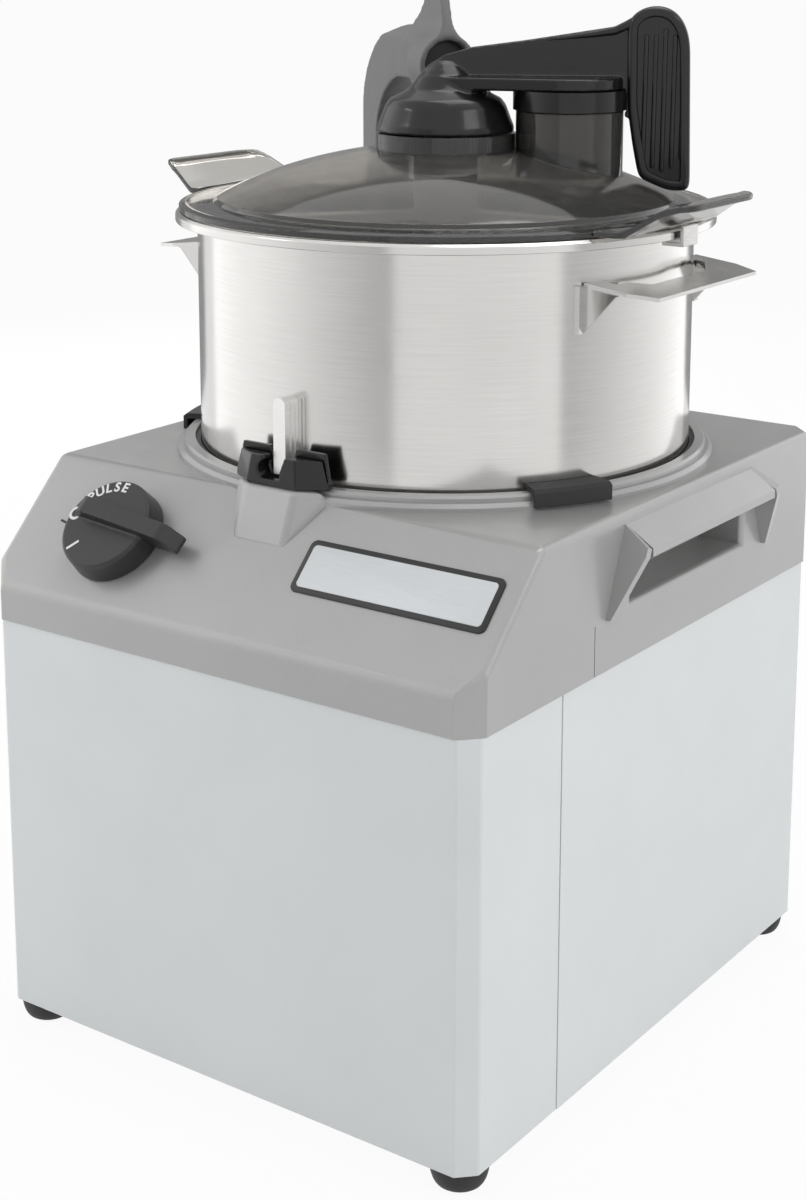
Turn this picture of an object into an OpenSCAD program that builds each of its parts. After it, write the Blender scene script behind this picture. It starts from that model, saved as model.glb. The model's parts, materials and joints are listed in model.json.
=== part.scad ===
// Commercial food processor: a bench bowl cutter with a direct-drive motor in its base.
// Millimetres. The origin is on the surface it stands on, under the middle of the base;
// the front faces -Y. The bowl's axis stands bowl_y behind the origin.

/* [Base] */
// Width of the body panels
body_w = 282; // [270:1:300]
// Depth of the body panels
body_d = 323; // [315:1:340]
// Height of the body panels
body_h = 201; // [190:1:240]
// Corner chamfer of the body panels
body_chamfer = 8; // [4:1:14]
// Thickness of the sheet panels
panel_t = 2; // [1:0.5:3]
// Depth of the front panel's side returns, from the front to the seam
front_return = 72; // [50:1:110]
// Thickness of the bottom plate
base_t = 3; // [2:0.5:5]
// Height of the feet
foot_h = 11; // [8:1:20]
// Radius of a foot where it meets the base
foot_r = 13.5; // [10:0.5:15]
// Radius of the flat tip of a foot
foot_tip_r = 9; // [6:0.5:9.5]
// Distance from a body edge to a foot's centre
foot_inset = 15; // [15:1:30]

/* [Cover] */
// How far the cover stands out past the body on the left and right
cover_side = 1.5; // [1:0.25:4]
// How far the cover stands out past the body at the front and back
cover_end = 1; // [0.5:0.25:4]
// Height of the cover's upright skirt at the front
skirt_h = 18; // [12:1:26]
// Rise of the sloping front panel
slope_rise = 53; // [44:1:60]
// Depth of the sloping front panel
slope_run = 53; // [44:1:58]
// Corner chamfer of the cover
cover_chamfer = 10; // [6:1:16]
// Wall of the casting
cover_t = 4; // [3:0.5:5]
// Distance of the bowl's axis behind the middle of the base
bowl_y = 23.2; // [21:0.1:26]
// Outer radius of the moulded ring round the bowl
ring_r = 136; // [134:0.5:138]
// Radius of the step on the moulded ring
ring_step_r = 132.5; // [130:0.5:133.5]
// Height of the moulded ring over the cover
ring_h = 6.5; // [5:0.5:9]
// Height of the lower step of the moulded ring
ring_step_h = 3.5; // [2:0.5:4.5]
// Depth of the well that the bowl stands in
well_depth = 8; // [6:0.5:10]
// Thickness of the well's floor
well_t = 5; // [4:0.5:7]

/* [Side handles] */
// Length of a side handle along its top
side_grip_l = 124; // [100:1:140]
// Spread of a side handle at the foot of its legs
side_leg_l = 156; // [146:1:170]
// How far a side handle stands out
side_reach = 13.8; // [11:0.2:20]
// Thickness of a side handle
side_t = 4; // [3:0.5:6]
// Height of a side handle
side_h = 41; // [36:1:44]
// Depth of the finger pocket behind a side handle
pocket_depth = 24; // [16:1:30]

/* [Bowl] */
// Outer radius of the bowl
bowl_r = 124; // [120:0.5:125]
// Height of the bowl
bowl_h = 129; // [120:1:150]
// Wall of the bowl
bowl_t = 1.2; // [1:0.1:2]
// Radius of the bowl's lower corner
bowl_corner = 12; // [8:1:16]
// Outer radius of the bowl's rim
rim_r = 134.8; // [133:0.1:137]
// Height of the bowl's rolled rim
rim_h = 5; // [4:0.5:7]
// Height of the bowl's centre tube
tube_h = 92; // [84:1:96]
// Outer radius of the bowl's centre tube
tube_r = 15; // [14:0.5:16]

/* [Lid] */
// Outer radius of the lid's flange
lid_r = 133; // [130:0.5:134.5]
// Thickness of the lid
lid_t = 3; // [2.5:0.25:4]
// Radius at which the dome springs
dome_r = 114.4; // [112:0.2:116]
// Height of the dome over its springing
dome_h = 25; // [20:1:26]
// Radius of the feed tube
feed_r = 26.5; // [24:0.5:27]
// Wall of the feed tube
feed_t = 2.5; // [2:0.25:4]
// Distance of the feed tube from the bowl's axis
feed_out = 61.5; // [61:0.5:63]
// How far each lid grip stands out past the lid's edge
wing_out = 30; // [25:0.5:36]
// Length of each grip of the lid
wing_l = 70; // [60:1:80]

/* [Scraper] */
// Direction of the scraper's handle at rest
scraper_az = 28; // [10:1:40]
// Thickness of the handle's upright fin
fin_t = 9; // [7:0.5:11]
// Thickness of the handle's paddle
paddle_t = 13; // [11:0.5:16]
// Reach of the handle from its axis to the paddle's outer edge
handle_reach = 121.2; // [115:0.2:123]
// Rise of the handle over the lid's collar
handle_rise = 62; // [56:1:68]
// Radius of the scraper's shaft
scraper_shaft_r = 9; // [7:0.5:10]

/* [Safety arm] */
// From the bowl's rim out to the safety arm's post
arm_gap = 21.9; // [21:0.1:25]
// Direction of the arm's post from the bowl's axis
arm_az = 137.3; // [136:0.1:139]
// Direction in which the arm reaches over the lid
arm_dir = -37.5; // [-40:0.5:-34]
// Length of the arm from its post to the tip
arm_len = 116.6; // [110:0.1:118]
// Thickness of the arm
arm_t = 20; // [16:1:22]
// Height of the arm's arch over the cover
arch_h = 208; // [200:1:216]
// Height of the fin's top over the arch
fin_rise = 16.7; // [12:0.1:20]
// Outer radius of the round nose at the arm's tip
nose_boss_r = 15.5; // [13:0.5:17]
// Height of the nose's middle over the cover
nose_h = 189; // [184:1:192]
// Radius of the arm's post
arm_post_r = 8; // [6:0.5:9]

/* [Control] */
// Radius of the control knob
knob_r = 24; // [20:0.5:26]
// Height of the control knob's disc
knob_h = 12; // [9:0.5:15]
// Sideways place of the knob on the slope
knob_x = -79; // [-95:1:-60]

/* [Drive] */
// Radius of the drive shaft
shaft_r = 10; // [8:0.5:11]
// Radius of the motor's shell
motor_r = 68; // [62:1:74]
// Reach of the knife
knife_r = 112; // [100:1:114]
// Thickness of a knife blade
blade_t = 2.4; // [2:0.2:4]

/* [Hidden] */
$fn = 96;

// One overrun for every cut, the rest gap between bodies and the running clearance
over = 1;
seat_gap = 0.3;
run_gap = 0.04;
small_fn = 32;

// Levels, from the floor up
z_body = foot_h;
z_floor = z_body + base_t;
z_cover = z_body + body_h;
z_skirt = z_cover + skirt_h;
z_top = z_skirt + slope_rise;
z_ring = z_top + ring_h;
z_well = z_top - well_depth;
z_bowl = z_well + seat_gap;
z_rim = z_bowl + bowl_h;
z_lid = z_rim + seat_gap;

// Base
half_w = body_w / 2;
half_d = body_d / 2;
seam_gap = 0.4;
seam_y = -half_d + front_return;
foot_x = half_w - foot_inset;
foot_y = half_d - foot_inset;
foot_screw_r = 2.5;
foot_screw_l = 12;
foot_recess_r = 5;
foot_recess_h = 4;
vent_w = 4;
vent_l = 60;
vent_pitch = 9;
vent_count = 7;
louvre_z = 60;
panel_screw_r = 3.5;
panel_screw_h = 2;
panel_screw_x = half_w - 14;
panel_screw_z = [z_body + 22, z_body + body_h / 2, z_cover - 14];
gland_x = 92;
gland_z = z_body + 34;
gland_r = 9;
gland_l = 14;
gland_nose = 4;

// Cover
cover_w = body_w + 2 * cover_side;
cover_d = body_d + 2 * cover_end;
half_cw = cover_w / 2;
half_cd = cover_d / 2;
slope_deg = atan2(slope_rise, slope_run);
slope_len = norm([slope_rise, slope_run]);
ring_bore = bowl_r + 3;
well_r = ring_bore + 4;
nose_r = 24;
lip_h = 6;
lip_t = 2.5;
lip_gap = 0.3;
post_r = 7;
post_x = 53;
post_y = 53;
groove = 0.6;
seam_step = 11;

// Boss and lock bracket at the front of the ring
boss_w = 29;
boss_back_w = 52;
boss_out = ring_r + 5;
boss_foot_out = ring_r + 14.3;
boss_drop = 24;
boss_skin = 0.5;
bracket_h = 13.5;
bracket_base = 3;
bracket_out = ring_r + 4.4;
bracket_in = ring_bore + 1.6;
bracket_plate = 2.6;
bracket_w = 28;
bracket_back_w = 54;
notch_w = 8.6;
notch_top_w = 17;
lug_w = 7;
lug_reach = 10;
lug_h = 36;
lug_lift = 1.2;

// Rubber round the bowl
seat_ring_r = bowl_r + 0.4;
seat_ring_t = 2.4;
seat_ring_drop = 1.5;
pad_arc = 16.5;
pad_az = [-30, 84, 197.5];
pad_t = 2.8;
pad_leg = 2;
pad_drop = 5.6;

// Side handles
side_z = z_top - 6.2;
side_drop = 8.8;
side_foot_reach = 2.6;
pocket_l = side_grip_l - 12;
pocket_z = side_z - side_h + 3.5;
pocket_top = z_well - well_t - 4;
pocket_wall = 3;

// Motor and drive
motor_top = z_cover + 2;
flange_r = motor_r + 14;
flange_t = 12;
motor_bottom = z_floor + 46;
shell_t = 2.5;
bell_t = 12;
stator_t = 24;
stator_h = 90;
stator_z = motor_bottom + 30;
air_gap = 1;
fan_r = motor_r - 10;
fan_h = 13;
fan_blades = 9;
fan_blade_t = 2.4;
fan_gap = 5;
shaft_z = z_floor + 12;
hex_h = 15;
hex_r = 8;
bearing_h = 12;
bearing_r = 21;
seal_h = 5;
bolt_r = 4;
bolt_head_h = 5;

// Control parts inside the base
switch_w = 38;
switch_d = 32;
spindle_r = 3;
spindle_up = 8;
spindle_down = 14;
knob_edge = 1;
knob_turn = -5;
grip_shift = 3.5;
grip_t = 8.5;
grip_shares = [[-0.85, 0.9], [-0.62, 1.55], [-0.5, 1.62], [1.5, 1.42], [1.62, 1.34],
    [1.86, 0.62], [1.84, 0.42], [1.6, 0.36], [0.87, 0.4]];
cap_r = 17;
cap_l = 62;
cap_x = -84;
cap_y = -100;
clip_w = 14;
board_w = 96;
board_d = 62;
board_t = 1.6;
board_x = 52;
board_y = -100;
board_lift = 8;
relay = [26, 20, 18];
heat_sink = [40, 12, 26];

// Knife
hub_r = tube_r + 6;
hub_gap = 0.6;
hub_lift = 3;
z_hub = z_bowl + bowl_t + hub_lift;
z_tube = z_bowl + tube_h;
z_shaft = z_tube + hex_h + 2;
hub_top = z_shaft + 1;
collar_r = hub_r + 5;
collar_h = 34;
blade_lift = 5;
blade_step = 16;
blade_w = 30;
blade_sweep = 58;
blade_steps = 12;
cap_h = 10;
hex_gap = 0.1;

// Bowl handles and lug
bh_y = 53;
bh_t = 1.8;
bh_reach = 25;
bh_in = 9;
bh_half = 48;
bh_drop = 22.5;
bh_arm = 11;
bh_gusset = 22;
bh_tilt = 7;
hook_az = 30;
hook_w = 14;
rim_t = 1.5;

// Lid
dome_power = 2.2;
dome_steps = 14;
dome_lift = 2.2;
flange_top = z_lid + lid_t + 0.6;
z_dome = flange_top + dome_lift;
collar_out = 35;
collar_in = 14;
z_collar = z_dome + dome_h + 6;
feed_gap = 0.15;
z_feed = z_collar + 11.7;
z_feed_low = z_dome + 9;
wing_reach = lid_r + wing_out;
wing_z = z_lid + 16.4;
wing_shift = 14;
wing_shift_left = 4;
wing_skirt = 8.5;
wing_t = 3;
hook_t = 2;
hook_clear = 1.4;
hook_foot = 9.5;
seal_r = bowl_r - bowl_t - 1.5;
seal_t = 6;

// Scraper
z_handle = z_collar + 0.4;
arm_count = 3;
frame_h = 5;
frame_gap = 2.4;
z_frame = hub_top + cap_h + frame_gap;
frame_r = 16;
leg_r = bowl_r - bowl_t - 8;
leg_t = 5;
leg_in = (scraper_shaft_r + frame_r) / 2;
frame_foot = 1;
arm_lift = 0.4;
leg_w = 12;
leg_drop = 88;
wiper_t = 4;
wiper_gap = 0.6;
flange_z = z_handle + 21.3;
flange_h = 6.4;
flange_tip_r = 26;
flange_root_r = 14;
stopper_r = 28;
stopper_gap = 0.3;
stopper_drop = 1.5;
socket_h = 24;
handle_hub_r = collar_out - 1;
handle_hub_h = 36;
groove_w = 1.6;
groove_pitch = 4.6;
groove_d = 1;
groove_l = 74;
groove_low = 20;
paddle_gap = 1.8;
hub_shares = [[0, 0], [1, 0], [1, 0.08], [0.96, 0.17], [0.88, 0.37], [0.81, 0.46],
    [0.68, 0.52], [0.54, 0.59], [0.44, 0.71], [0.32, 0.84], [0.2, 0.95], [0, 1]];
fin_shares = [[-0.116, 0.386], [-0.074, 0.523], [0, 0.612], [0.107, 0.67], [0.33, 0.728],
    [0.686, 0.837], [0.744, 0.902], [0.769, 0.709], [0.756, 0.129], [0.732, 0.129],
    [0.715, 0.233], [0.683, 0.282], [0.587, 0.343], [0, 0.343]];
paddle_shares = [[0.764, -0.081], [0.74, 0.225], [0.736, 0.886], [0.756, 0.926],
    [0.785, 0.971], [0.822, 0.995], [0.86, 1], [0.897, 0.986], [0.93, 0.947],
    [0.959, 0.878], [0.978, 0.789], [0.987, 0.692]];
paddle_foot_shares = [0.992, 0.969, 0.909, 0.864, 0.822, 0.792];
paddle_low_share = 0.909;

// Safety arm
arm_out = rim_r + arm_gap;
arm_x = arm_out * cos(arm_az);
arm_y = bowl_y + arm_out * sin(arm_az);
z_arch = z_top + arch_h;
z_fin = z_arch + fin_rise;
nose_z = z_top + nose_h;
nose_l = 25;
socket_r = 12.3;
socket_d = 9;
arm_fin_t = 5.8;
column_back = 11.3;
column_front = 15;
arch_drop = 50;
arch_end = 65;
arch_low = 28;
hook_low = 68;
hook_end = 65;
arch_steps = 12;
flare_up = 23;
flare_steps = 6;
post_seat = 60;
bush_t = 3;
bush_h = 14;
z_arm = z_top + bush_t + arm_lift;
cam_r = 15;
cam_h = 8;
cam_drop = 40;
latch_w = 16;
latch_d = 24;
latch_h = 30;
fin_back_shares = [[0.57, 0.14], [0.64, 0.38], [0.72, 0.84], [0.76, 1]];
fin_front_shares = [[0.94, 1], [0.984, 0.21], [1, -0.21]];

// Shapes that several pieces share
function chamfered(w, d, c) = [[-w + c, -d], [w - c, -d], [w, -d + c], [w, d - c],
    [w - c, d], [-w + c, d], [-w, d - c], [-w, -d + c]];
function inset_chamfer(c, t) = max(c - t * (2 - sqrt(2)), c / 8);
function arc(cx, cy, r, a, b, n) = [for (i = [0:n]) let (t = a + (b - a) * i / n)
    [cx + r * cos(t), cy + r * sin(t)]];
function dome_z(r) = z_dome + dome_h * (1 - pow(r / dome_r, dome_power));
function lid_top(r) = r < dome_r ? dome_z(r) : flange_top;
function ellipse(cx, cy, rx, ry, a, b, n) = [for (i = [0:n]) let (t = a + (b - a) * i / n)
    [cx + rx * cos(t), cy + ry * sin(t)]];

module at_bowl() {
    translate([0, bowl_y, 0]) children();
}

module ring(r_out, r_in, z0, z1) {
    translate([0, 0, z0]) difference() {
        cylinder(r = r_out, h = z1 - z0);
        translate([0, 0, -over]) cylinder(r = r_in, h = z1 - z0 + 2 * over);
    }
}

module both_sides() {
    children();
    mirror([1, 0, 0]) children();
}

module plan_block(w, d, c, z0, z1) {
    translate([0, 0, z0]) linear_extrude(z1 - z0) polygon(chamfered(w, d, c));
}

// Places children on the sloping panel: x across, y up the slope, z out of it
module on_slope(x, up) {
    translate([x, -half_cd + up * cos(slope_deg), z_skirt + up * sin(slope_deg)])
        rotate([slope_deg, 0, 0]) children();
}

// Places children at the arm's post: x along the arm, z up
module at_arm() {
    translate([arm_x, arm_y, 0]) rotate([0, 0, arm_dir]) children();
}

// Stands a profile drawn as [along, up] on its edge, t thick about the middle
module upright(t) {
    rotate([90, 0, 0]) translate([0, 0, -t / 2]) linear_extrude(t) children();
}

module foot_places() {
    for (x = [-foot_x, foot_x], y = [-foot_y, foot_y]) translate([x, y, 0]) children();
}

// Base
module base_plate() {
    color("gray") difference() {
        plan_block(half_w - panel_t, half_d - panel_t,
            inset_chamfer(body_chamfer, panel_t), z_body, z_floor);
        for (i = [0:vent_count - 1])
            translate([-vent_l / 2, bowl_y + (i - (vent_count - 1) / 2) * vent_pitch - vent_w / 2,
                z_body - over]) cube([vent_l, vent_w, base_t + 2 * over]);
        foot_places() translate([0, 0, z_body - over])
            cylinder(r = foot_screw_r, h = base_t + 2 * over, $fn = small_fn);
    }
}

module feet() {
    color([0.1, 0.1, 0.1]) foot_places() difference() {
        rotate_extrude($fn = 64) polygon(concat([[0, 0]],
            [for (i = [0:8]) let (a = -90 + 90 * i / 8)
                [foot_tip_r + (foot_r - foot_tip_r) * cos(a), foot_h * (1 + sin(a))]],
            [[0, foot_h]]));
        translate([0, 0, -over]) cylinder(r = foot_recess_r, h = foot_recess_h + over,
            $fn = small_fn);
        cylinder(r = foot_screw_r, h = foot_h + over, $fn = small_fn);
    }
}

module foot_screws() {
    color("silver") foot_places() {
        translate([0, 0, foot_recess_h / 2])
            cylinder(r = foot_recess_r - seat_gap, h = foot_recess_h / 2, $fn = small_fn);
        translate([0, 0, foot_recess_h])
            cylinder(r = foot_screw_r - run_gap, h = foot_screw_l, $fn = small_fn);
    }
}

module panel_shell() {
    difference() {
        plan_block(half_w, half_d, body_chamfer, z_body, z_cover);
        plan_block(half_w - panel_t, half_d - panel_t,
            inset_chamfer(body_chamfer, panel_t), z_body - over, z_cover + over);
    }
}

module front_panel() {
    color("whitesmoke") intersection() {
        panel_shell();
        translate([-half_w - over, -half_d - over, z_body - over])
            cube([body_w + 2 * over, front_return + over - seam_gap / 2, body_h + 2 * over]);
    }
}

module rear_panel() {
    color("whitesmoke") difference() {
        intersection() {
            panel_shell();
            translate([-half_w - over, seam_y + seam_gap / 2, z_body - over])
                cube([body_w + 2 * over, body_d - front_return + over, body_h + 2 * over]);
        }
        for (i = [0:vent_count - 1])
            translate([-vent_l, half_d - panel_t - over, z_body + louvre_z + i * vent_pitch])
                cube([2 * vent_l, panel_t + 2 * over, vent_w]);
        translate([gland_x, half_d + over, gland_z]) rotate([90, 0, 0])
            cylinder(r = gland_r, h = panel_t + 2 * over);
        for (z = panel_screw_z) both_sides() translate([panel_screw_x, half_d + over, z])
            rotate([90, 0, 0]) cylinder(r = panel_screw_r / 2, h = panel_t + 2 * over,
                $fn = small_fn);
    }
}

module panel_screws() {
    color("silver") for (z = panel_screw_z) both_sides() translate([panel_screw_x, half_d, z])
        rotate([-90, 0, 0]) {
            intersection() {
                cylinder(r = panel_screw_r, h = panel_screw_h, $fn = small_fn);
                translate([0, 0, panel_screw_h - 2 * panel_screw_r])
                    sphere(r = 2 * panel_screw_r, $fn = small_fn);
            }
            translate([0, 0, -panel_t]) cylinder(r = panel_screw_r / 2 - run_gap,
                h = panel_t, $fn = small_fn);
        }
}

module cord_gland() {
    color([0.1, 0.1, 0.1]) translate([gland_x, half_d - panel_t - gland_l / 2, gland_z])
        rotate([-90, 0, 0]) difference() {
            union() {
                cylinder(r = gland_r - run_gap, h = gland_l / 2 + panel_t);
                cylinder(r = gland_r + 2 * panel_t, h = gland_l / 2, $fn = 6);
                translate([0, 0, gland_l / 2 + panel_t])
                    cylinder(r = gland_r + panel_t, h = panel_t);
                translate([0, 0, gland_l / 2 + 2 * panel_t])
                    cylinder(r1 = gland_r, r2 = gland_r - panel_t, h = gland_nose);
            }
            translate([0, 0, -over]) cylinder(r = gland_r / 2, h = 2 * gland_l + 2 * over);
        }
}

// Cast cover
module cover_profile(t) {
    lean = t / sin(slope_deg);
    ratio = slope_run / slope_rise;
    polygon([
        [-half_cd + t, z_cover - (t > 0 ? over : 0)],
        [-half_cd + t, z_skirt + (t - lean) / ratio],
        [-half_cd + lean + (slope_rise - t) * ratio, z_top - t],
        [half_cd - t, z_top - t],
        [half_cd - t, z_cover - (t > 0 ? over : 0)]
    ]);
}

module cover_blank(t) {
    intersection() {
        plan_block(half_cw - t, half_cd - t, inset_chamfer(cover_chamfer, t),
            z_cover - over, z_top + over);
        rotate([90, 0, 90]) translate([0, 0, -cover_w])
            linear_extrude(2 * cover_w) cover_profile(t);
    }
}

module ring_moulding() {
    at_bowl() rotate_extrude() polygon([
        [ring_bore, z_well - well_t], [ring_bore + cover_t, z_well - well_t],
        [ring_bore + cover_t, z_top - cover_t], [ring_r, z_top - cover_t],
        [ring_r, z_top + ring_step_h / 2],
        [ring_r - ring_step_h / 2, z_top + ring_step_h],
        [ring_step_r, z_top + ring_step_h],
        [ring_step_r, z_ring - ring_step_h / 3],
        [ring_step_r - ring_step_h / 3, z_ring], [ring_bore, z_ring]
    ]);
}

module lock_boss() {
    at_bowl() hull() {
        translate([0, 0, z_ring - boss_skin]) linear_extrude(boss_skin) polygon([
            [-boss_w / 2, -boss_out], [boss_w / 2, -boss_out],
            [boss_back_w / 2, -ring_step_r], [-boss_back_w / 2, -ring_step_r]]);
        translate([0, 0, z_ring - boss_drop]) linear_extrude(boss_skin) polygon([
            [-boss_w / 2, -boss_foot_out], [boss_w / 2, -boss_foot_out],
            [boss_back_w / 2, -ring_step_r], [-boss_back_w / 2, -ring_step_r]]);
    }
}

module side_handle() {
    splay = atan2((side_leg_l - side_grip_l) / 2, side_h);
    translate([half_cw, bowl_y, 0]) {
        rotate([90, 0, 0]) translate([0, 0, -side_grip_l / 2]) linear_extrude(side_grip_l)
            polygon([[-cover_t / 2, side_z], [0, side_z], [side_reach, side_z - side_drop],
                [side_reach, side_z - side_drop - side_t],
                [0, side_z - side_t * 1.5], [-cover_t / 2, side_z - side_t * 1.5]]);
        for (s = [-1, 1]) translate([0, s * side_grip_l / 2, side_z])
            rotate([s * splay, 0, 0]) upright(side_t) polygon([
                [-cover_t / 2, 0], [0, 0], [side_reach, -side_drop],
                [side_reach, -side_drop - side_t],
                [side_foot_reach, -side_h / cos(splay)],
                [-cover_t / 2, -side_h / cos(splay)]]);
    }
}

module finger_pocket(grow) {
    translate([half_cw - pocket_depth - grow, bowl_y - pocket_l / 2 - grow, pocket_z - grow])
        cube([pocket_depth + (grow > 0 ? grow - cover_t / 2 : over), pocket_l + 2 * grow,
            pocket_top - pocket_z + 2 * grow]);
}

module cover_posts() {
    for (x = [-post_x, post_x], y = [-post_y, post_y])
        translate([x, bowl_y + y, motor_top + flange_t])
            cylinder(r = post_r, h = z_well - well_t - motor_top - flange_t + cover_t / 2,
                $fn = small_fn);
}

module side_seam() {
    translate([half_cw - groove, bowl_y - side_leg_l / 2 - seam_step, z_cover - over])
        cube([2 * groove, groove, side_z - side_h - z_cover + over]);
}

module top_cover() {
    color("darkgray") difference() {
        union() {
            difference() {
                cover_blank(0);
                cover_blank(cover_t);
            }
            difference() {
                plan_block(half_w - panel_t - lip_gap, half_d - panel_t - lip_gap,
                    inset_chamfer(body_chamfer, panel_t + lip_gap), z_cover - lip_h,
                    z_cover + cover_t);
                plan_block(half_w - panel_t - lip_gap - lip_t, half_d - panel_t - lip_gap - lip_t,
                    inset_chamfer(body_chamfer, panel_t + lip_gap + lip_t),
                    z_cover - lip_h - over, z_cover + cover_t + over);
            }
            ring_moulding();
            at_bowl() translate([0, 0, z_well - well_t]) cylinder(r = well_r, h = well_t);
            lock_boss();
            cover_posts();
            intersection() {
                both_sides() finger_pocket(pocket_wall);
                cover_blank(cover_t / 2);
            }
            both_sides() side_handle();
        }
        at_bowl() translate([0, 0, z_well]) cylinder(r = ring_bore, h = ring_h + well_depth + over);
        at_bowl() translate([0, 0, z_well - well_t - over])
            cylinder(r = nose_r, h = well_t + 2 * over);
        both_sides() finger_pocket(0);
        both_sides() side_seam();
        on_slope(knob_x, slope_len / 2) translate([0, 0, -2 * cover_t])
            cylinder(r = spindle_r + seat_gap, h = 4 * cover_t, $fn = small_fn);
        translate([arm_x, arm_y, z_top - 2 * cover_t])
            cylinder(r = arm_post_r + bush_t, h = 4 * cover_t);
        for (x = [-post_x, post_x], y = [-post_y, post_y])
            translate([x, bowl_y + y, motor_top]) cylinder(r = bolt_r - over,
                h = flange_t + 3 * bolt_r, $fn = small_fn);
    }
}

// Lock bracket: a notched block and a guard plate behind it
module lock_bracket() {
    foot = z_ring;
    color([0.16, 0.16, 0.17]) at_bowl() difference() {
        union() {
            translate([0, 0, foot]) linear_extrude(bracket_base) polygon([
                [-bracket_w / 2, -bracket_out], [bracket_w / 2, -bracket_out],
                [bracket_back_w / 2, -ring_step_r], [bracket_back_w / 2, -bracket_in],
                [-bracket_back_w / 2, -bracket_in], [-bracket_back_w / 2, -ring_step_r]]);
            hull() {
                translate([0, 0, foot]) linear_extrude(bracket_base) polygon([
                    [-bracket_w / 2, -bracket_out], [bracket_w / 2, -bracket_out],
                    [bracket_back_w / 2, -ring_step_r], [-bracket_back_w / 2, -ring_step_r]]);
                translate([0, 0, foot + bracket_h - boss_skin]) linear_extrude(boss_skin)
                    polygon([[-bracket_w / 2 + bracket_base / 2, -bracket_out + bracket_base / 2],
                    [bracket_w / 2 - bracket_base / 2, -bracket_out + bracket_base / 2],
                    [bracket_back_w / 2 - bracket_base, -ring_step_r],
                    [-bracket_back_w / 2 + bracket_base, -ring_step_r]]);
            }
            translate([0, -bracket_in - bracket_plate / 2, foot]) upright(bracket_plate) polygon([
                [-bracket_back_w / 2, 0], [bracket_back_w / 2, 0],
                [bracket_back_w / 2 - bracket_base, bracket_h + bracket_base],
                [-bracket_back_w / 2 + bracket_base, bracket_h + bracket_base]]);
        }
        translate([0, -bracket_out, foot]) upright(4 * lug_reach) polygon([
            [-notch_w / 2, bracket_base], [notch_w / 2, bracket_base],
            [notch_w / 2, bracket_h / 2], [notch_top_w / 2, bracket_h + 2 * bracket_base],
            [-notch_top_w / 2, bracket_h + 2 * bracket_base], [-notch_w / 2, bracket_h / 2]]);
        translate([-notch_w / 2, -bracket_out + lug_reach, foot + bracket_base + notch_w / 2])
            rotate([90, 0, 0]) cylinder(r = notch_w / 2, h = 2 * lug_reach, $fn = small_fn);
    }
}

module seat_ring() {
    color([0.08, 0.08, 0.08]) at_bowl()
        ring(seat_ring_r + seat_ring_t, seat_ring_r, z_well, z_ring - seat_ring_drop);
}

module seat_pads() {
    color([0.1, 0.1, 0.1]) at_bowl() for (a = pad_az)
        rotate([0, 0, a - pad_arc / 2]) rotate_extrude(angle = pad_arc) polygon([
            [seat_ring_r, z_ring], [ring_r + seat_gap, z_ring],
            [ring_r + seat_gap, z_ring - pad_drop], [ring_r + seat_gap + pad_leg, z_ring - pad_drop],
            [ring_r + seat_gap + pad_leg, z_ring + pad_t / 2],
            [ring_r + seat_gap, z_ring + pad_t], [seat_ring_r, z_ring + pad_t]]);
}

// Motor
module motor_flange() {
    color("lightsteelblue") at_bowl() difference() {
        union() {
            translate([0, 0, motor_top]) cylinder(r = flange_r, h = flange_t);
            translate([0, 0, motor_top]) cylinder(r = nose_r - seat_gap,
                h = z_well - motor_top - seat_gap);
            translate([0, 0, motor_top + flange_t]) cylinder(r1 = nose_r + 3 * post_r,
                r2 = nose_r, h = 3 * post_r);
        }
        translate([0, 0, motor_top - over]) cylinder(r = shaft_r + 2 * over,
            h = z_well - motor_top + 2 * over);
        translate([0, 0, z_well - seal_h - bearing_h - 2 * over]) cylinder(r = bearing_r,
            h = seal_h + bearing_h + 4 * over);
        for (x = [-post_x, post_x], y = [-post_y, post_y]) translate([x, y, motor_top - over])
            cylinder(r = bolt_r, h = flange_t + 2 * over, $fn = small_fn);
    }
}

module flange_bolts() {
    color("silver") at_bowl() for (x = [-post_x, post_x], y = [-post_y, post_y])
        translate([x, y, motor_top]) {
            translate([0, 0, -bolt_head_h]) cylinder(r = 1.6 * bolt_r, h = bolt_head_h, $fn = 6);
            cylinder(r = bolt_r - over - run_gap, h = flange_t + 2 * bolt_r, $fn = small_fn);
        }
}

module upper_bearing() {
    color("silver") at_bowl() ring(bearing_r, shaft_r + run_gap,
        z_well - seal_h - bearing_h - 2 * over, z_well - seal_h - 2 * over);
}

module shaft_seal() {
    color([0.1, 0.1, 0.1]) at_bowl() ring(bearing_r, shaft_r + run_gap,
        z_well - seal_h - 2 * over, z_well - seat_gap);
}

module motor_shell() {
    color("slategray") at_bowl() ring(motor_r, motor_r - shell_t, motor_bottom, motor_top);
}

module stator() {
    color("peru") at_bowl() ring(motor_r - shell_t, motor_r - shell_t - stator_t,
        stator_z, stator_z + stator_h);
}

module end_bell() {
    color("lightsteelblue") at_bowl() difference() {
        union() {
            translate([0, 0, motor_bottom - bell_t]) cylinder(r = motor_r, h = bell_t);
            translate([0, 0, motor_bottom - bell_t])
                cylinder(r = bearing_r + cover_t, h = bell_t + cover_t);
        }
        translate([0, 0, motor_bottom - bell_t - over]) cylinder(r = shaft_r + 2 * over,
            h = 3 * bell_t);
        translate([0, 0, motor_bottom - bell_t + cover_t]) cylinder(r = bearing_r, h = 2 * bell_t);
        for (a = [0:60:300]) rotate([0, 0, a]) translate([motor_r * 0.68, 0, motor_bottom - bell_t - over])
            cylinder(r = bell_t / 2, h = 2 * bell_t, $fn = small_fn);
    }
}

module lower_bearing() {
    color("silver") at_bowl() ring(bearing_r, shaft_r + run_gap,
        motor_bottom - bell_t + cover_t, motor_bottom + cover_t);
}

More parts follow.
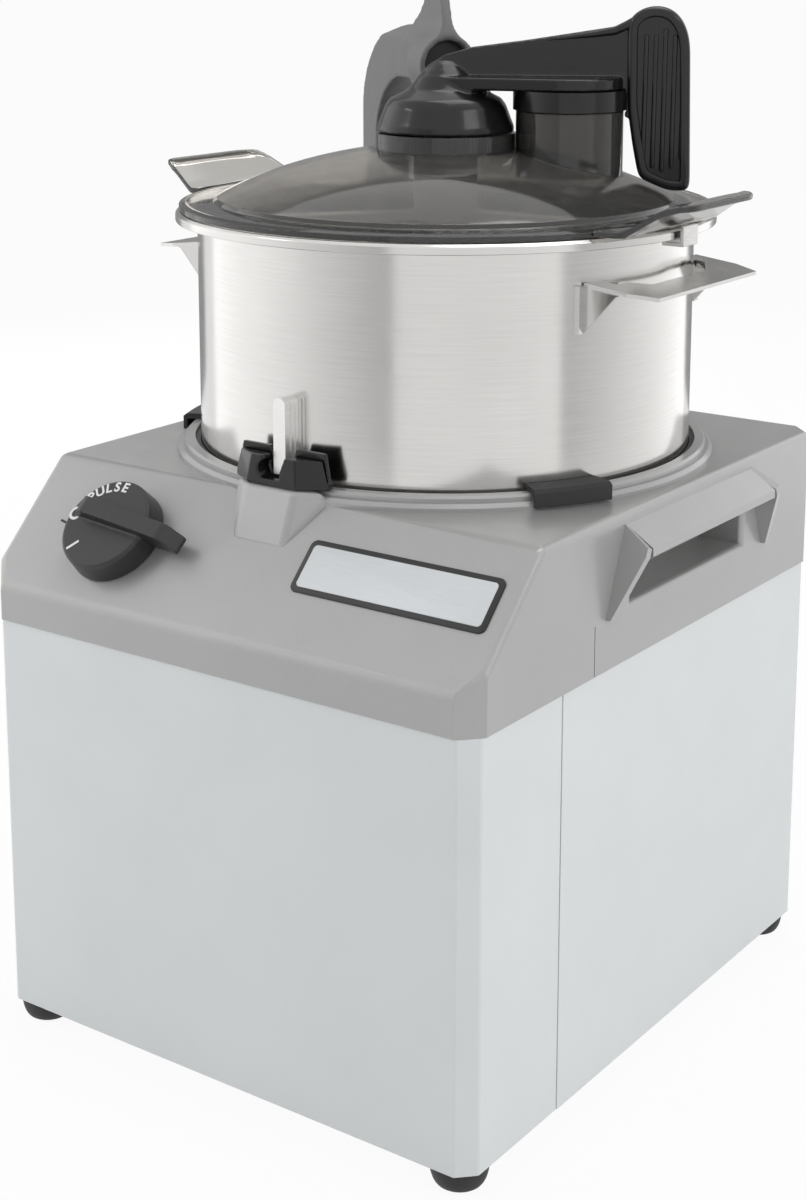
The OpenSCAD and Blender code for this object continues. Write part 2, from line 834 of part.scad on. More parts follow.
module capacitor() {
    color("gainsboro") translate([cap_x - cap_l / 2, cap_y, z_floor + clip_w / 4 + cap_r])
        rotate([0, 90, 0]) {
            cylinder(r = cap_r, h = cap_l);
            translate([0, 0, cap_l]) cylinder(r = cap_r * 0.85, h = cap_r / 4);
        }
}

module capacitor_clip() {
    color("silver") translate([cap_x - clip_w / 2, cap_y, z_floor]) difference() {
        union() {
            translate([0, 0, clip_w / 4 + cap_r]) rotate([0, 90, 0])
                cylinder(r = cap_r + panel_t, h = clip_w);
            translate([0, -cap_r - panel_t, 0]) cube([clip_w, 2 * (cap_r + panel_t),
                clip_w / 4 + cap_r]);
        }
        translate([-over, 0, clip_w / 4 + cap_r]) rotate([0, 90, 0])
            cylinder(r = cap_r, h = clip_w + 2 * over);
    }
}

module control_board() {
    color("seagreen") translate([board_x - board_w / 2, board_y - board_d / 2, z_floor]) {
        translate([0, 0, board_lift]) cube([board_w, board_d, board_t]);
        for (x = [board_lift, board_w - board_lift], y = [board_lift, board_d - board_lift])
            translate([x, y, 0]) cylinder(r = board_lift / 2, h = board_lift, $fn = small_fn);
        translate([board_w / 8, board_d / 4, board_lift + board_t]) cube(relay);
        translate([board_w / 2, board_d / 3, board_lift + board_t]) cube(heat_sink);
    }
}

module switch_body() {
    color("dimgray") on_slope(knob_x, slope_len / 2) difference() {
        translate([-switch_w / 2, -switch_w / 2, -cover_t - switch_d])
            cube([switch_w, switch_w, switch_d]);
        translate([0, 0, -cover_t - spindle_down - seat_gap]) cylinder(
            r = spindle_r + run_gap, h = spindle_down + cover_t, $fn = small_fn);
    }
}

module interlock_switch() {
    top = z_well - well_t - seat_gap;
    color("firebrick") translate([arm_x + cam_r + seat_gap, arm_y - cam_r, top - latch_h])
        difference() {
            cube([latch_w, latch_d, latch_h]);
            translate([-over, -over, latch_h / 2]) cube([latch_w / 2, latch_d + 2 * over, latch_h]);
        }
}

module arm_bush() {
    color("darkgoldenrod") translate([arm_x, arm_y, 0]) union() {
        ring(arm_post_r + bush_t, arm_post_r + run_gap, z_top - bush_h, z_top);
        ring(arm_post_r + 2 * bush_t, arm_post_r + run_gap, z_top, z_top + bush_t);
    }
}

// Drive
module drive_shaft() {
    color("silver") at_bowl() {
        translate([0, 0, shaft_z]) cylinder(r = shaft_r, h = z_tube - hub_gap - shaft_z);
        translate([0, 0, z_tube - hub_gap]) cylinder(r = hex_r, h = z_shaft - z_tube + hub_gap,
            $fn = 6);
    }
}

module rotor() {
    color("steelblue") at_bowl() {
        ring(motor_r - shell_t - stator_t - air_gap, shaft_r, stator_z, stator_z + stator_h);
        for (z = [stator_z - bell_t / 2, stator_z + stator_h])
            ring(motor_r - shell_t - stator_t - 4 * air_gap, 2.4 * shaft_r, z, z + bell_t / 2);
    }
}

module cooling_fan() {
    fan_z = motor_bottom - bell_t - fan_gap - fan_h;
    color([0.15, 0.15, 0.16]) at_bowl() {
        ring(2 * shaft_r, shaft_r, fan_z, fan_z + fan_h);
        ring(fan_r, shaft_r, fan_z + fan_h - fan_blade_t, fan_z + fan_h);
        for (i = [0:fan_blades - 1]) rotate([0, 0, 360 / fan_blades * i])
            translate([2 * shaft_r - over, -fan_blade_t / 2, fan_z])
                cube([fan_r - 2 * shaft_r, fan_blade_t, fan_h]);
    }
}

// Knife: a sleeve over the bowl's centre tube, driven by the shaft's hexagon
module knife_hub() {
    color("whitesmoke") at_bowl() difference() {
        union() {
            translate([0, 0, z_hub]) cylinder(r = hub_r, h = hub_top - z_hub);
            translate([0, 0, z_hub]) cylinder(r = collar_r, h = collar_h);
            translate([0, 0, z_hub + collar_h]) cylinder(r1 = collar_r, r2 = hub_r,
                h = collar_r - hub_r);
        }
        translate([0, 0, z_hub - over]) cylinder(r = tube_r + hub_gap,
            h = z_tube + hub_gap - z_hub + over);
        translate([0, 0, z_hub]) cylinder(r = hex_r + hex_gap, h = hub_top - z_hub + over,
            $fn = 6);
        for (i = [0, 1]) translate([0, 0, z_hub + blade_lift + i * blade_step])
            rotate([0, 0, 180 * i]) linear_extrude(blade_t) knife_blade();
    }
}

module knife_blade() {
    reach = [for (i = [0:blade_steps]) collar_r - hub_gap + (knife_r - collar_r + hub_gap)
        * i / blade_steps];
    mid = [for (i = [0:blade_steps]) blade_sweep * pow(i / blade_steps, 1.5)];
    half = [for (i = [0:blade_steps]) blade_w / 2 * (1 - 0.75 * pow(i / blade_steps, 2))];
    polygon(concat(
        [[tube_r + hub_gap + over, -blade_w / 4]],
        [for (i = [0:blade_steps]) let (a = mid[i] - half[i] / reach[i] * 45)
            [reach[i] * cos(a), reach[i] * sin(a)]],
        [for (i = [blade_steps:-1:0]) let (a = mid[i] + half[i] / reach[i] * 45)
            [reach[i] * cos(a), reach[i] * sin(a)]],
        [[tube_r + hub_gap + over, blade_w / 4]]));
}

module blade_at(i) {
    color("silver") at_bowl() translate([0, 0, z_hub + blade_lift + i * blade_step])
        rotate([0, 0, 180 * i]) linear_extrude(blade_t) knife_blade();
}

module knife_blade_lower() { blade_at(0); }

module knife_blade_upper() { blade_at(1); }

module knife_cap() {
    color([0.15, 0.15, 0.15]) at_bowl() translate([0, 0, hub_top]) {
        cylinder(r1 = hub_r, r2 = hub_r - cap_h / 3, h = cap_h / 2);
        translate([0, 0, cap_h / 2]) cylinder(r1 = hub_r - cap_h / 3, r2 = hub_r - cap_h,
            h = cap_h / 2);
    }
}

// Bowl
module bowl_shell() {
    wall_top = z_rim - rim_t;
    color("silver") at_bowl() difference() {
        rotate_extrude($fn = 180) polygon(concat(
            [[tube_r, z_bowl]],
            arc(bowl_r - bowl_corner, z_bowl + bowl_corner, bowl_corner, -90, 0, 8),
            [[bowl_r, wall_top - rim_t], [bowl_r + rim_t, wall_top],
            [rim_r - rim_t, wall_top], [rim_r - rim_t, z_rim - rim_h],
            [rim_r, z_rim - rim_h], [rim_r, z_rim - rim_t], [rim_r - rim_t, z_rim],
            [bowl_r - bowl_t + rim_t, z_rim], [bowl_r - bowl_t, z_rim - rim_t]],
            arc(bowl_r - bowl_corner, z_bowl + bowl_corner, bowl_corner - bowl_t, 0, -90, 8),
            [[tube_r, z_bowl + bowl_t]]));
        for (a = [hook_az, hook_az + 180]) rotate([0, 0, a])
            translate([bowl_r + 2 * rim_t, -hook_w / 2 - rim_t, z_rim - rim_h - over])
                cube([rim_r, hook_w + 2 * rim_t, rim_h + 2 * over]);
    }
}

module bowl_tube() {
    color("silver") at_bowl() ring(tube_r, tube_r - bowl_t, z_bowl, z_tube);
}

module bowl_handle() {
    top = z_bowl + bowl_h - bh_drop;
    outer = bowl_r + bh_reach;
    color("gainsboro") at_bowl() difference() {
        union() {
            translate([bowl_r, 0, top]) rotate([0, bh_tilt, 0]) translate([-bowl_r, 0, -bh_t])
                linear_extrude(bh_t) polygon([
                    [bowl_r + bh_arm, -bh_y - bh_t / 2], [outer, -bh_half],
                    [outer, bh_half], [bowl_r + bh_arm, bh_y + bh_t / 2],
                    [bowl_r - bh_arm, bh_y + bh_t / 2], [bowl_r - bh_arm, bh_y - bh_arm],
                    [bowl_r + bh_in, bh_half - 2 * bh_arm],
                    [bowl_r + bh_in, -bh_half + 2 * bh_arm],
                    [bowl_r - bh_arm, -bh_y + bh_arm], [bowl_r - bh_arm, -bh_y - bh_t / 2]]);
            for (y = [-bh_y, bh_y]) translate([0, y, 0]) upright(bh_t) polygon([
                [bowl_r - 2 * bh_arm, top], [bowl_r + bh_arm, top - bh_t],
                [bowl_r + bh_arm / 2, top - 2 * bh_t], [bowl_r - bh_arm, top - bh_gusset],
                [bowl_r - 2 * bh_arm, top - bh_gusset]]);
            for (s = [-1, 1]) translate([0, s * (bh_y + bh_t / 2 + bh_t), 0])
                upright(2 * bh_t) polygon([
                [bowl_r - 2 * bh_arm, top], [bowl_r - bh_arm, top],
                [bowl_r - bh_arm, top - bh_gusset], [bowl_r - 2 * bh_arm, top - bh_gusset]]);
        }
        translate([0, 0, z_bowl]) cylinder(r = bowl_r, h = bowl_h, $fn = 180);
        difference() {
            translate([0, -rim_r, top - 2 * bh_gusset]) cube([bowl_r, 2 * rim_r, 3 * bh_gusset]);
            translate([0, 0, top - 2 * bh_gusset]) cylinder(r = bowl_r + bh_t,
                h = 3 * bh_gusset, $fn = 180);
            for (y = [-bh_y, bh_y]) translate([0, y - bh_arm, top - 2 * bh_gusset])
                cube([bowl_r, 2 * bh_arm, 3 * bh_gusset]);
        }
    }
}

module bowl_handle_right() { bowl_handle(); }

module bowl_handle_left() {
    translate([0, 2 * bowl_y, 0]) rotate([0, 0, 180]) bowl_handle();
}

// Lug: a folded strip on the bowl's front that drops into the bracket's notch
module lock_lug() {
    foot = z_ring + bracket_base + lug_lift;
    color("gainsboro") at_bowl() difference() {
        union() {
            translate([-lug_w / 2, -bowl_r - lug_reach, foot])
                cube([lug_w, lug_reach + bowl_t, lug_h - lug_w / 2]);
            translate([0, bowl_t - bowl_r, foot + lug_h - lug_w / 2]) rotate([90, 0, 0])
                cylinder(r = lug_w / 2, h = lug_reach + bowl_t, $fn = small_fn);
        }
        for (i = [1, 2]) translate([lug_w / 2 - bowl_t / 2, -bowl_r - lug_reach * i / 3, foot - over])
            cube([bowl_t, bowl_t, lug_h + 2 * over]);
        translate([0, 0, z_bowl]) cylinder(r = bowl_r, h = bowl_h, $fn = 180);
    }
}

// Lid
module lid_dome() {
    ds = [for (i = [0:dome_steps]) collar_out + (dome_r - collar_out) * i / dome_steps];
    color([0.35, 0.33, 0.31, 0.6]) at_bowl() difference() {
        rotate_extrude($fn = 120) polygon(concat(
            [[collar_in, z_collar - over], [collar_in, z_collar], [collar_out, z_collar]],
            [for (r = ds) [r, dome_z(r)]],
            [[dome_r + lid_t / 2, flange_top], [lid_r - 2 * lid_t, flange_top - lid_t / 4],
            [lid_r - lid_t, flange_top], [lid_r, flange_top - lid_t / 3],
            [lid_r, z_lid], [dome_r - lid_t, z_lid]],
            [for (i = [dome_steps:-1:0]) [ds[i] - lid_t / 2, dome_z(ds[i]) - lid_t]],
            [[collar_in, dome_z(collar_in) - lid_t]]));
        rotate([0, 0, scraper_az]) translate([feed_out, 0, z_lid])
            cylinder(r = feed_r + feed_gap, h = dome_h + z_collar);
    }
}

module feed_tube() {
    color([0.35, 0.33, 0.31, 0.6]) at_bowl() rotate([0, 0, scraper_az])
        translate([feed_out, 0, 0]) ring(feed_r, feed_r - feed_t, z_feed_low, z_feed);
}

module lid_grip(shift) {
    front = -wing_l / 2 - shift;
    back = wing_l / 2 - shift;
    color([0.4, 0.38, 0.36, 0.6]) at_bowl() intersection() {
        rotate([90, 0, 0]) translate([0, 0, -wing_reach]) linear_extrude(2 * wing_reach)
            polygon([[lid_r + seat_gap - wing_t, z_lid + lid_t / 3],
                [lid_r + wing_t, z_lid + lid_t / 3],
                [wing_reach - 3 * wing_t, wing_z - wing_t], [wing_reach - wing_t, wing_z - wing_t],
                [wing_reach - wing_t, wing_z - wing_skirt], [wing_reach, wing_z - wing_skirt],
                [wing_reach, wing_z - wing_t / 2], [wing_reach - wing_t / 2, wing_z],
                [wing_reach - 3 * wing_t, wing_z], [lid_r + wing_t / 2, flange_top],
                [lid_r + seat_gap - wing_t, flange_top]]);
        difference() {
            translate([0, 0, z_lid - over]) linear_extrude(wing_z - z_lid + 2 * over) polygon([
                [lid_r - 3 * wing_t, front + 3 * wing_t], [lid_r, front + 2 * wing_t],
                [wing_reach, front], [wing_reach + over, front],
                [wing_reach + over, back], [lid_r, back + 2 * wing_t],
                [lid_r - 3 * wing_t, back + 2 * wing_t]]);
            translate([0, 0, z_lid - 2 * over]) cylinder(r = lid_r,
                h = wing_z - z_lid + 4 * over, $fn = 120);
        }
    }
}

module lid_grip_right() { lid_grip(wing_shift); }

module lid_grip_left() {
    translate([0, 2 * bowl_y, 0]) rotate([0, 0, 180]) lid_grip(wing_shift_left);
}

module lid_hooks() {
    low = z_rim - rim_h - hook_clear;
    color("silver") at_bowl() for (a = [0, 180]) rotate([0, 0, a]) {
        translate([rim_r + hook_clear, -hook_w / 2, low - hook_t])
            cube([hook_t, hook_w, z_lid + lid_t / 3 - low + hook_t]);
        translate([rim_r + hook_clear - hook_foot, -hook_w / 2, low - hook_t])
            cube([hook_foot + hook_t, hook_w, hook_t]);
    }
}

module lid_seal() {
    color("white") at_bowl() ring(seal_r, seal_r - seal_t, z_lid - seal_t, z_lid);
}

module lid_bush() {
    color("white") at_bowl() ring(collar_in, scraper_shaft_r + run_gap,
        dome_z(collar_in) - lid_t, z_collar);
}

// Scraper handle
function handle_at(share) = [share[0] * handle_reach, z_handle + share[1] * handle_rise];

module hub_body() {
    rotate_extrude() translate([0, z_handle]) polygon([for (p = hub_shares)
        [p[0] * handle_hub_r, p[1] * handle_hub_h]]);
}

module paddle_outline() {
    polygon(concat([for (p = paddle_shares) handle_at(p)],
        [[handle_reach, lid_top(dome_r) + 2 * paddle_gap + lid_t]],
        [for (p = paddle_foot_shares) let (r = p * handle_reach)
            [r, max(lid_top(r), lid_top(paddle_low_share * handle_reach)) + paddle_gap]]));
}

module paddle_grooves() {
    middle = handle_reach - paddle_t - groove_w;
    for (s = [-1, 1], i = [-2:2])
        translate([middle + i * groove_pitch - groove_w / 2, s * paddle_t / 2 - groove_d,
            z_handle - groove_low + groove_w * i * i])
            cube([groove_w, 2 * groove_d, groove_l - groove_pitch * abs(i)]);
}

module scraper_handle() {
    color([0.05, 0.05, 0.05]) at_bowl() rotate([0, 0, scraper_az]) difference() {
        union() {
            hub_body();
            upright(fin_t) polygon([for (p = fin_shares) handle_at(p)]);
            upright(paddle_t) paddle_outline();
            translate([0, 0, flange_z]) linear_extrude(flange_h) hull() {
                circle(r = flange_root_r, $fn = small_fn);
                translate([feed_out, 0]) circle(r = flange_tip_r, $fn = small_fn);
            }
        }
        translate([0, 0, z_handle - over]) cylinder(r = scraper_shaft_r, h = socket_h + 2 * over);
        translate([feed_out, 0, z_feed - stopper_drop]) difference() {
            cylinder(r = stopper_r + run_gap, h = flange_z - z_feed + stopper_drop);
            translate([-2 * stopper_r, -stopper_r, 0]) cube([2 * stopper_r, 2 * stopper_r,
                flange_z - z_feed + stopper_drop]);
        }
        paddle_grooves();
    }
}

module tube_stopper() {
    color([0.06, 0.06, 0.06]) at_bowl() rotate([0, 0, scraper_az])
        translate([feed_out, 0, 0]) {
            ring(stopper_r, stopper_r - feed_t, z_feed + stopper_gap, flange_z);
            translate([0, 0, flange_z - feed_t]) cylinder(r = stopper_r, h = feed_t);
        }
}

module scraper_shaft() {
    color("silver") at_bowl() translate([0, 0, z_frame])
        cylinder(r = scraper_shaft_r, h = z_handle + socket_h - z_frame);
}

module scraper_frame() {
    color("whitesmoke") at_bowl() difference() {
        union() {
            rotate([0, 0, scraper_az - 90]) translate([0, 0, z_frame - frame_foot])
                cylinder(r = frame_r,
                    h = dome_z(collar_in) - lid_t - seat_gap - z_frame + frame_foot);
            for (i = [0:arm_count - 1]) rotate([0, 0, scraper_az + 90 + 360 / arm_count * i])
                upright(leg_w) polygon([[leg_in, z_frame], [leg_r - leg_t, z_frame],
                    [leg_r - leg_t, z_frame - leg_drop], [leg_r, z_frame - leg_drop],
                    [leg_r, z_frame + frame_h], [leg_in, z_frame + frame_h]]);
        }
        rotate([0, 0, scraper_az - 90]) translate([0, 0, z_frame - frame_foot - over])
            cylinder(r = scraper_shaft_r, h = dome_h + z_collar);
    }
}

module scraper_blades() {
    outer = bowl_r - bowl_t - wiper_gap;
    color("white") at_bowl() for (i = [0:arm_count - 1])
        rotate([0, 0, scraper_az + 90 + 360 / arm_count * i]) intersection() {
            translate([leg_r, -wiper_t / 2, z_frame - leg_drop])
                cube([outer, wiper_t, z_lid - seal_t - seat_gap - z_frame + leg_drop]);
            cylinder(r = outer, h = z_rim);
        }
}

// Knob
module knob() {
    color([0.2, 0.2, 0.21]) on_slope(knob_x, slope_len / 2) difference() {
        union() {
            translate([0, 0, seat_gap]) cylinder(r1 = knob_r + knob_edge, r2 = knob_r,
                h = knob_h - knob_edge);
            translate([0, 0, knob_h - knob_edge + seat_gap]) cylinder(r1 = knob_r,
                r2 = knob_r - knob_edge, h = knob_edge);
            rotate([0, 0, knob_turn]) translate([0, grip_shift, 0]) upright(grip_t)
                polygon([for (p = grip_shares) [p[0] * knob_r, p[1] * knob_h]]);
        }
        translate([0, 0, -over]) cylinder(r = spindle_r, h = spindle_up + over, $fn = small_fn);
    }
}

module knob_spindle() {
    color("silver") on_slope(knob_x, slope_len / 2) translate([0, 0, -cover_t - spindle_down])
        cylinder(r = spindle_r, h = spindle_down + cover_t + spindle_up, $fn = small_fn);
}

// Safety arm: the arch's side outline crossed with the outline of its front
function on_arm(share, rise) = [share[0] * arm_len, z_arch + share[1] * rise];

module arm_side() {
    polygon(concat([[-column_back, z_arm]],
        ellipse(arch_end, z_arch - arch_drop, arch_end + column_back, arch_drop, 180, 90,
            arch_steps),
        [for (p = fin_back_shares) on_arm(p, fin_rise)],
        [for (p = fin_front_shares) on_arm(p, fin_rise)],
        [[arm_len, nose_z - nose_boss_r], [arm_len - nose_l, nose_z - nose_boss_r],
        [arm_len - nose_l - flare_up / 2, z_arch - arch_low]],
        ellipse(hook_end, z_arch - hook_low, hook_end - column_front, hook_low - arch_low,
            90, 180, arch_steps),
        [[column_front, z_arm]]));
}

// Half the fin's thickness at its top, flaring into the round nose below it
function flare_r() = (flare_up * flare_up + arm_fin_t * arm_fin_t / 4
    - nose_boss_r * nose_boss_r) / (2 * nose_boss_r - arm_fin_t);

module arm_front(low) {
    r = flare_r();
    turn = atan2(flare_up, arm_fin_t / 2 + r);
    side = concat([[arm_fin_t / 2, z_fin]],
        arc(arm_fin_t / 2 + r, nose_z + flare_up, r, 180, 180 + turn, flare_steps),
        arc(0, nose_z, nose_boss_r, turn, 0, flare_steps),
        [[nose_boss_r, low]]);
    n = len(side);
    polygon(concat(side, [for (i = [n - 1:-1:0]) [-side[i][0], side[i][1]]]));
}

module along_arm(x0, x1) {
    translate([x0, 0, 0]) rotate([90, 0, 90]) linear_extrude(x1 - x0) children();
}

module arm_body() {
    intersection() {
        upright(arm_t) arm_side();
        along_arm(-2 * column_front, arm_len) arm_front(z_arm);
    }
    intersection() {
        upright(4 * nose_boss_r) arm_side();
        along_arm(arm_len - nose_l, arm_len) {
            arm_front(nose_z);
            translate([0, nose_z]) circle(r = nose_boss_r);
        }
    }
}

module safety_arm() {
    color([0.38, 0.38, 0.39]) at_arm() difference() {
        arm_body();
        translate([arm_len - socket_d, 0, nose_z]) rotate([0, 90, 0])
            cylinder(r = socket_r, h = socket_d + over, $fn = 64);
        translate([0, 0, z_arm - over]) cylinder(r = arm_post_r, h = post_seat + over);
    }
}

module arm_post() {
    color("silver") at_arm() translate([0, 0, z_top - cam_drop - cam_h])
        cylinder(r = arm_post_r, h = cam_drop + cam_h + z_arm - z_top + post_seat);
}

module arm_pad() {
    color([0.06, 0.06, 0.06]) at_arm() translate([arm_len - socket_d, 0, nose_z])
        rotate([0, 90, 0]) cylinder(r = socket_r, h = socket_d / 2, $fn = 64);
}

module arm_cam() {
    low = z_top - cam_drop - cam_h / 2;
    color("white") at_arm() difference() {
        ring(cam_r, arm_post_r, low, low + cam_h);
        translate([-2 * cam_r, cam_r * 0.8, low - over]) cube([4 * cam_r, cam_r,
            cam_h + 2 * over]);
    }
}

base_plate();
feet();
foot_screws();
front_panel();
rear_panel();
panel_screws();
cord_gland();
top_cover();
lock_bracket();
seat_ring();
seat_pads();
motor_flange();
flange_bolts();
upper_bearing();
shaft_seal();
motor_shell();
stator();
end_bell();
lower_bearing();
capacitor();
capacitor_clip();
control_board();
switch_body();
interlock_switch();
arm_bush();
drive_shaft();
rotor();
cooling_fan();
knife_hub();
knife_blade_lower();
knife_blade_upper();
knife_cap();
bowl_shell();
bowl_tube();
bowl_handle_left();
bowl_handle_right();
lock_lug();
lid_dome();
feed_tube();
lid_grip_left();
lid_grip_right();
lid_hooks();
lid_seal();
lid_bush();
scraper_handle();
tube_stopper();
scraper_shaft();
scraper_frame();
scraper_blades();
knob();
knob_spindle();
arm_post();
safety_arm();
arm_pad();
arm_cam();
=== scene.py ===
import json
import math

import bmesh
import bpy
from mathutils import Matrix, Vector


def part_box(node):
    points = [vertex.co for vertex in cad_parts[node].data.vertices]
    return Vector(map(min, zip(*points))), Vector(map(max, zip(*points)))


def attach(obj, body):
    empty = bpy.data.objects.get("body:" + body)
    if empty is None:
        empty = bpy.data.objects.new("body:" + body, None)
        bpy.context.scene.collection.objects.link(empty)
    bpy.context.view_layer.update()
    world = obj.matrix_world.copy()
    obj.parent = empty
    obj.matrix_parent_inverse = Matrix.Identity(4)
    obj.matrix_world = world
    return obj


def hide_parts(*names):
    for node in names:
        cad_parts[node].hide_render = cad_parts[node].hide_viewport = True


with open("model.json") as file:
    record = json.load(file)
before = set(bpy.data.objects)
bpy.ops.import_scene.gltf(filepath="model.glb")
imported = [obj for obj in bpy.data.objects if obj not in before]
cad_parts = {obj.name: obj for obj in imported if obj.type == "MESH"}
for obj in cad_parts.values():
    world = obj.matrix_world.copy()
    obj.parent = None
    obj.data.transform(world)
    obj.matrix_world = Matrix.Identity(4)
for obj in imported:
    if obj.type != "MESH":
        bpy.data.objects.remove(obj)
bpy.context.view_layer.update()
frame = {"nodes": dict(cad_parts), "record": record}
nodes = frame["nodes"]
bodies = frame["record"]["behaviour"]["bodies"]
body_of = {node: body for body, members in bodies.items() for node in members}
scene = bpy.context.scene
scene.view_settings.view_transform = "Standard"

LOW, HIGH = 0, 1
X, Y, Z = 0, 1, 2


def side_of(node, end, axis):
    """Where a node's box begins or ends along an axis, in metres."""
    return round(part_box(node)[end][axis], 6)


# Where the main forms are, in metres

BOWL_Y = round((side_of("bowl_shell", LOW, Y) + side_of("bowl_shell", HIGH, Y)) / 2, 6)
FRONT_Y = side_of("top_cover", LOW, Y)
SLOPE_FOOT_Z = 0.230
SLOPE_LEN = 0.075
SLOPE_ANGLE = math.radians(45)


# Objects and node trees

def linked(name, data):
    """A new object in the scene."""
    obj = bpy.data.objects.new(name, data)
    scene.collection.objects.link(obj)
    return obj


def mesh_object(name, bm, mat):
    """A bmesh made an object, with its material."""
    mesh = bpy.data.meshes.new(name)
    bm.to_mesh(mesh)
    bm.free()
    mesh.materials.append(mat)
    return linked(name, mesh)


def empty_tree(owner):
    """A material's or world's node tree with nothing in it."""
    owner.use_nodes = True
    owner.node_tree.nodes.clear()
    return owner.node_tree


def fill(tree, socket, value):
    """Sets a socket, or links it where the value is another node's socket."""
    if isinstance(value, bpy.types.NodeSocket):
        tree.links.new(value, socket)
    else:
        socket.default_value = value


def add(tree, kind, **inputs):
    """A new node. An input's name has _ in place of a space."""
    node = tree.nodes.new("ShaderNode" + kind)
    for name, value in inputs.items():
        fill(tree, node.inputs[name.replace("_", " ")], value)
    return node


def reckon(tree, operation, *values):
    """The result of a Math node on sockets or plain numbers."""
    node = add(tree, "Math")
    node.operation = operation
    for socket, value in zip(node.inputs, values):
        fill(tree, socket, value)
    return node.outputs[0]


# Camera

camera = linked("camera", bpy.data.cameras.new("camera"))
camera.location = (0.5831, -0.8270, 0.5343)
camera.rotation_euler = (math.radians(90 - 11.455), 0, math.radians(35.624))
camera.data.lens = 61.95
camera.data.sensor_fit = "VERTICAL"
camera.data.sensor_height = 36
camera.data.shift_y = -0.2
camera.data.clip_end = 100
scene.camera = camera


# Lamps and the cards that shiny pieces mirror

def lamp(name, place, target, width, height, power):
    """A soft box that faces a point."""
    light = bpy.data.lights.new(name, "AREA")
    light.shape = "RECTANGLE"
    light.size = width
    light.size_y = height
    light.energy = power
    obj = linked(name, light)
    obj.location = place
    obj.rotation_euler = (Vector(target) - Vector(place)).to_track_quat("-Z", "Y").to_euler()


lamp("right_box", (1.5, -0.1, 0.75), (0, 0, 0.25), 0.7, 1.5, 8.5)
lamp("left_box", (-1.35, -1.2, 0.8), (0, 0, 0.25), 0.5, 1.5, 11)
lamp("top_box", (0.1, 0.3, 1.9), (0, 0.1, 0.3), 1.2, 1.0, 8)
lamp("back_box", (-1.2, 1.2, 0.9), (0, 0.1, 0.3), 0.8, 1.2, 7)

WALL_RADIUS = 1.15
WALL_HEIGHT = 1.1
WALL_STEPS = 24


def glow(name):
    """A material that only shines, and its shader."""
    mat = bpy.data.materials.new(name)
    tree = empty_tree(mat)
    shine = add(tree, "Emission")
    tree.links.new(shine.outputs[0], add(tree, "OutputMaterial").inputs["Surface"])
    return mat, shine


def hang(name, bm, mat):
    """Puts up a card that shows only in reflections."""
    card = mesh_object(name, bm, mat)
    card.visible_camera = False
    card.visible_diffuse = False
    card.visible_shadow = False
    card.visible_transmission = False


def flat_card(name, distance, azimuth, width, height, grey):
    """A flat card of one grey, standing on the floor."""
    bm = bmesh.new()
    bmesh.ops.create_grid(bm, x_segments=1, y_segments=1, size=0.5)
    bmesh.ops.scale(bm, vec=(width, height, 1), verts=bm.verts)
    bmesh.ops.rotate(bm, matrix=Matrix.Rotation(math.radians(90), 3, "X"), verts=bm.verts)
    bmesh.ops.translate(bm, vec=(0, -distance, height / 2), verts=bm.verts)
    bmesh.ops.rotate(bm, matrix=Matrix.Rotation(math.radians(azimuth + 90), 3, "Z"),
                     verts=bm.verts)
    mat, shine = glow(name)
    shine.inputs["Color"].default_value = (grey, grey, grey, 1)
    hang(name, bm, mat)


def curved_card(name, first, last, grey_first, grey_last):
    """A card curved round the machine, whose grey changes from one end to the other."""
    bm = bmesh.new()
    bmesh.ops.create_grid(bm, x_segments=WALL_STEPS, y_segments=1, size=0.5)
    for v in bm.verts:
        turn = math.radians(first + (last - first) * (v.co.x + 0.5))
        height = WALL_HEIGHT * (v.co.y + 0.5)
        v.co = (WALL_RADIUS * math.cos(turn), WALL_RADIUS * math.sin(turn), height)
    mat, shine = glow(name)
    tree = mat.node_tree
    centred = add(tree, "VectorRotate", Vector=add(tree, "TexCoord").outputs["Object"],
                  Angle=-math.radians((first + last) / 2))
    centred.rotation_type = "Z_AXIS"
    place = add(tree, "SeparateXYZ", Vector=centred.outputs[0]).outputs
    half = math.radians((last - first) / 2)
    grey = add(tree, "MapRange", Value=reckon(tree, "ARCTAN2", place["Y"], place["X"]),
               From_Min=-half, From_Max=half, To_Min=grey_first, To_Max=grey_last)
    fill(tree, shine.inputs["Strength"], grey.outputs[0])
    hang(name, bm, mat)


curved_card("left_wall", -184, -77, 1.52, 0.55)
curved_card("middle_wall", -22, -3.5, 0.95, 1.02)
curved_card("right_wall", -3.5, 86, 0.52, 1.55)
flat_card("back_flag", 1.3, 124, 1.9, 1.5, 0.30)


# World and floor

def white_beyond(tree, lit, white, share, output):
    """Shows the eye, glass and shiny pieces the white shader, and all other rays the lit one."""
    seen = add(tree, "LightPath").outputs
    rays = reckon(tree, "MAXIMUM", seen["Is Camera Ray"], seen["Is Glossy Ray"])
    rays = reckon(tree, "MAXIMUM", rays, seen["Is Transmission Ray"])
    mix = add(tree, "MixShader")
    shown = (reckon(tree, "MULTIPLY", rays, share), lit.outputs[0], white.outputs[0])
    for socket, value in zip(mix.inputs, shown):
        tree.links.new(value, socket)
    tree.links.new(mix.outputs[0], add(tree, output).inputs["Surface"])


world = bpy.data.worlds.new("studio")
scene.world = world
sky = empty_tree(world)
white_beyond(sky, add(sky, "Background", Color=(0.97, 0.985, 1, 1), Strength=0.56),
             add(sky, "Background", Color=(1, 1, 1, 1)), 1.0, "OutputWorld")

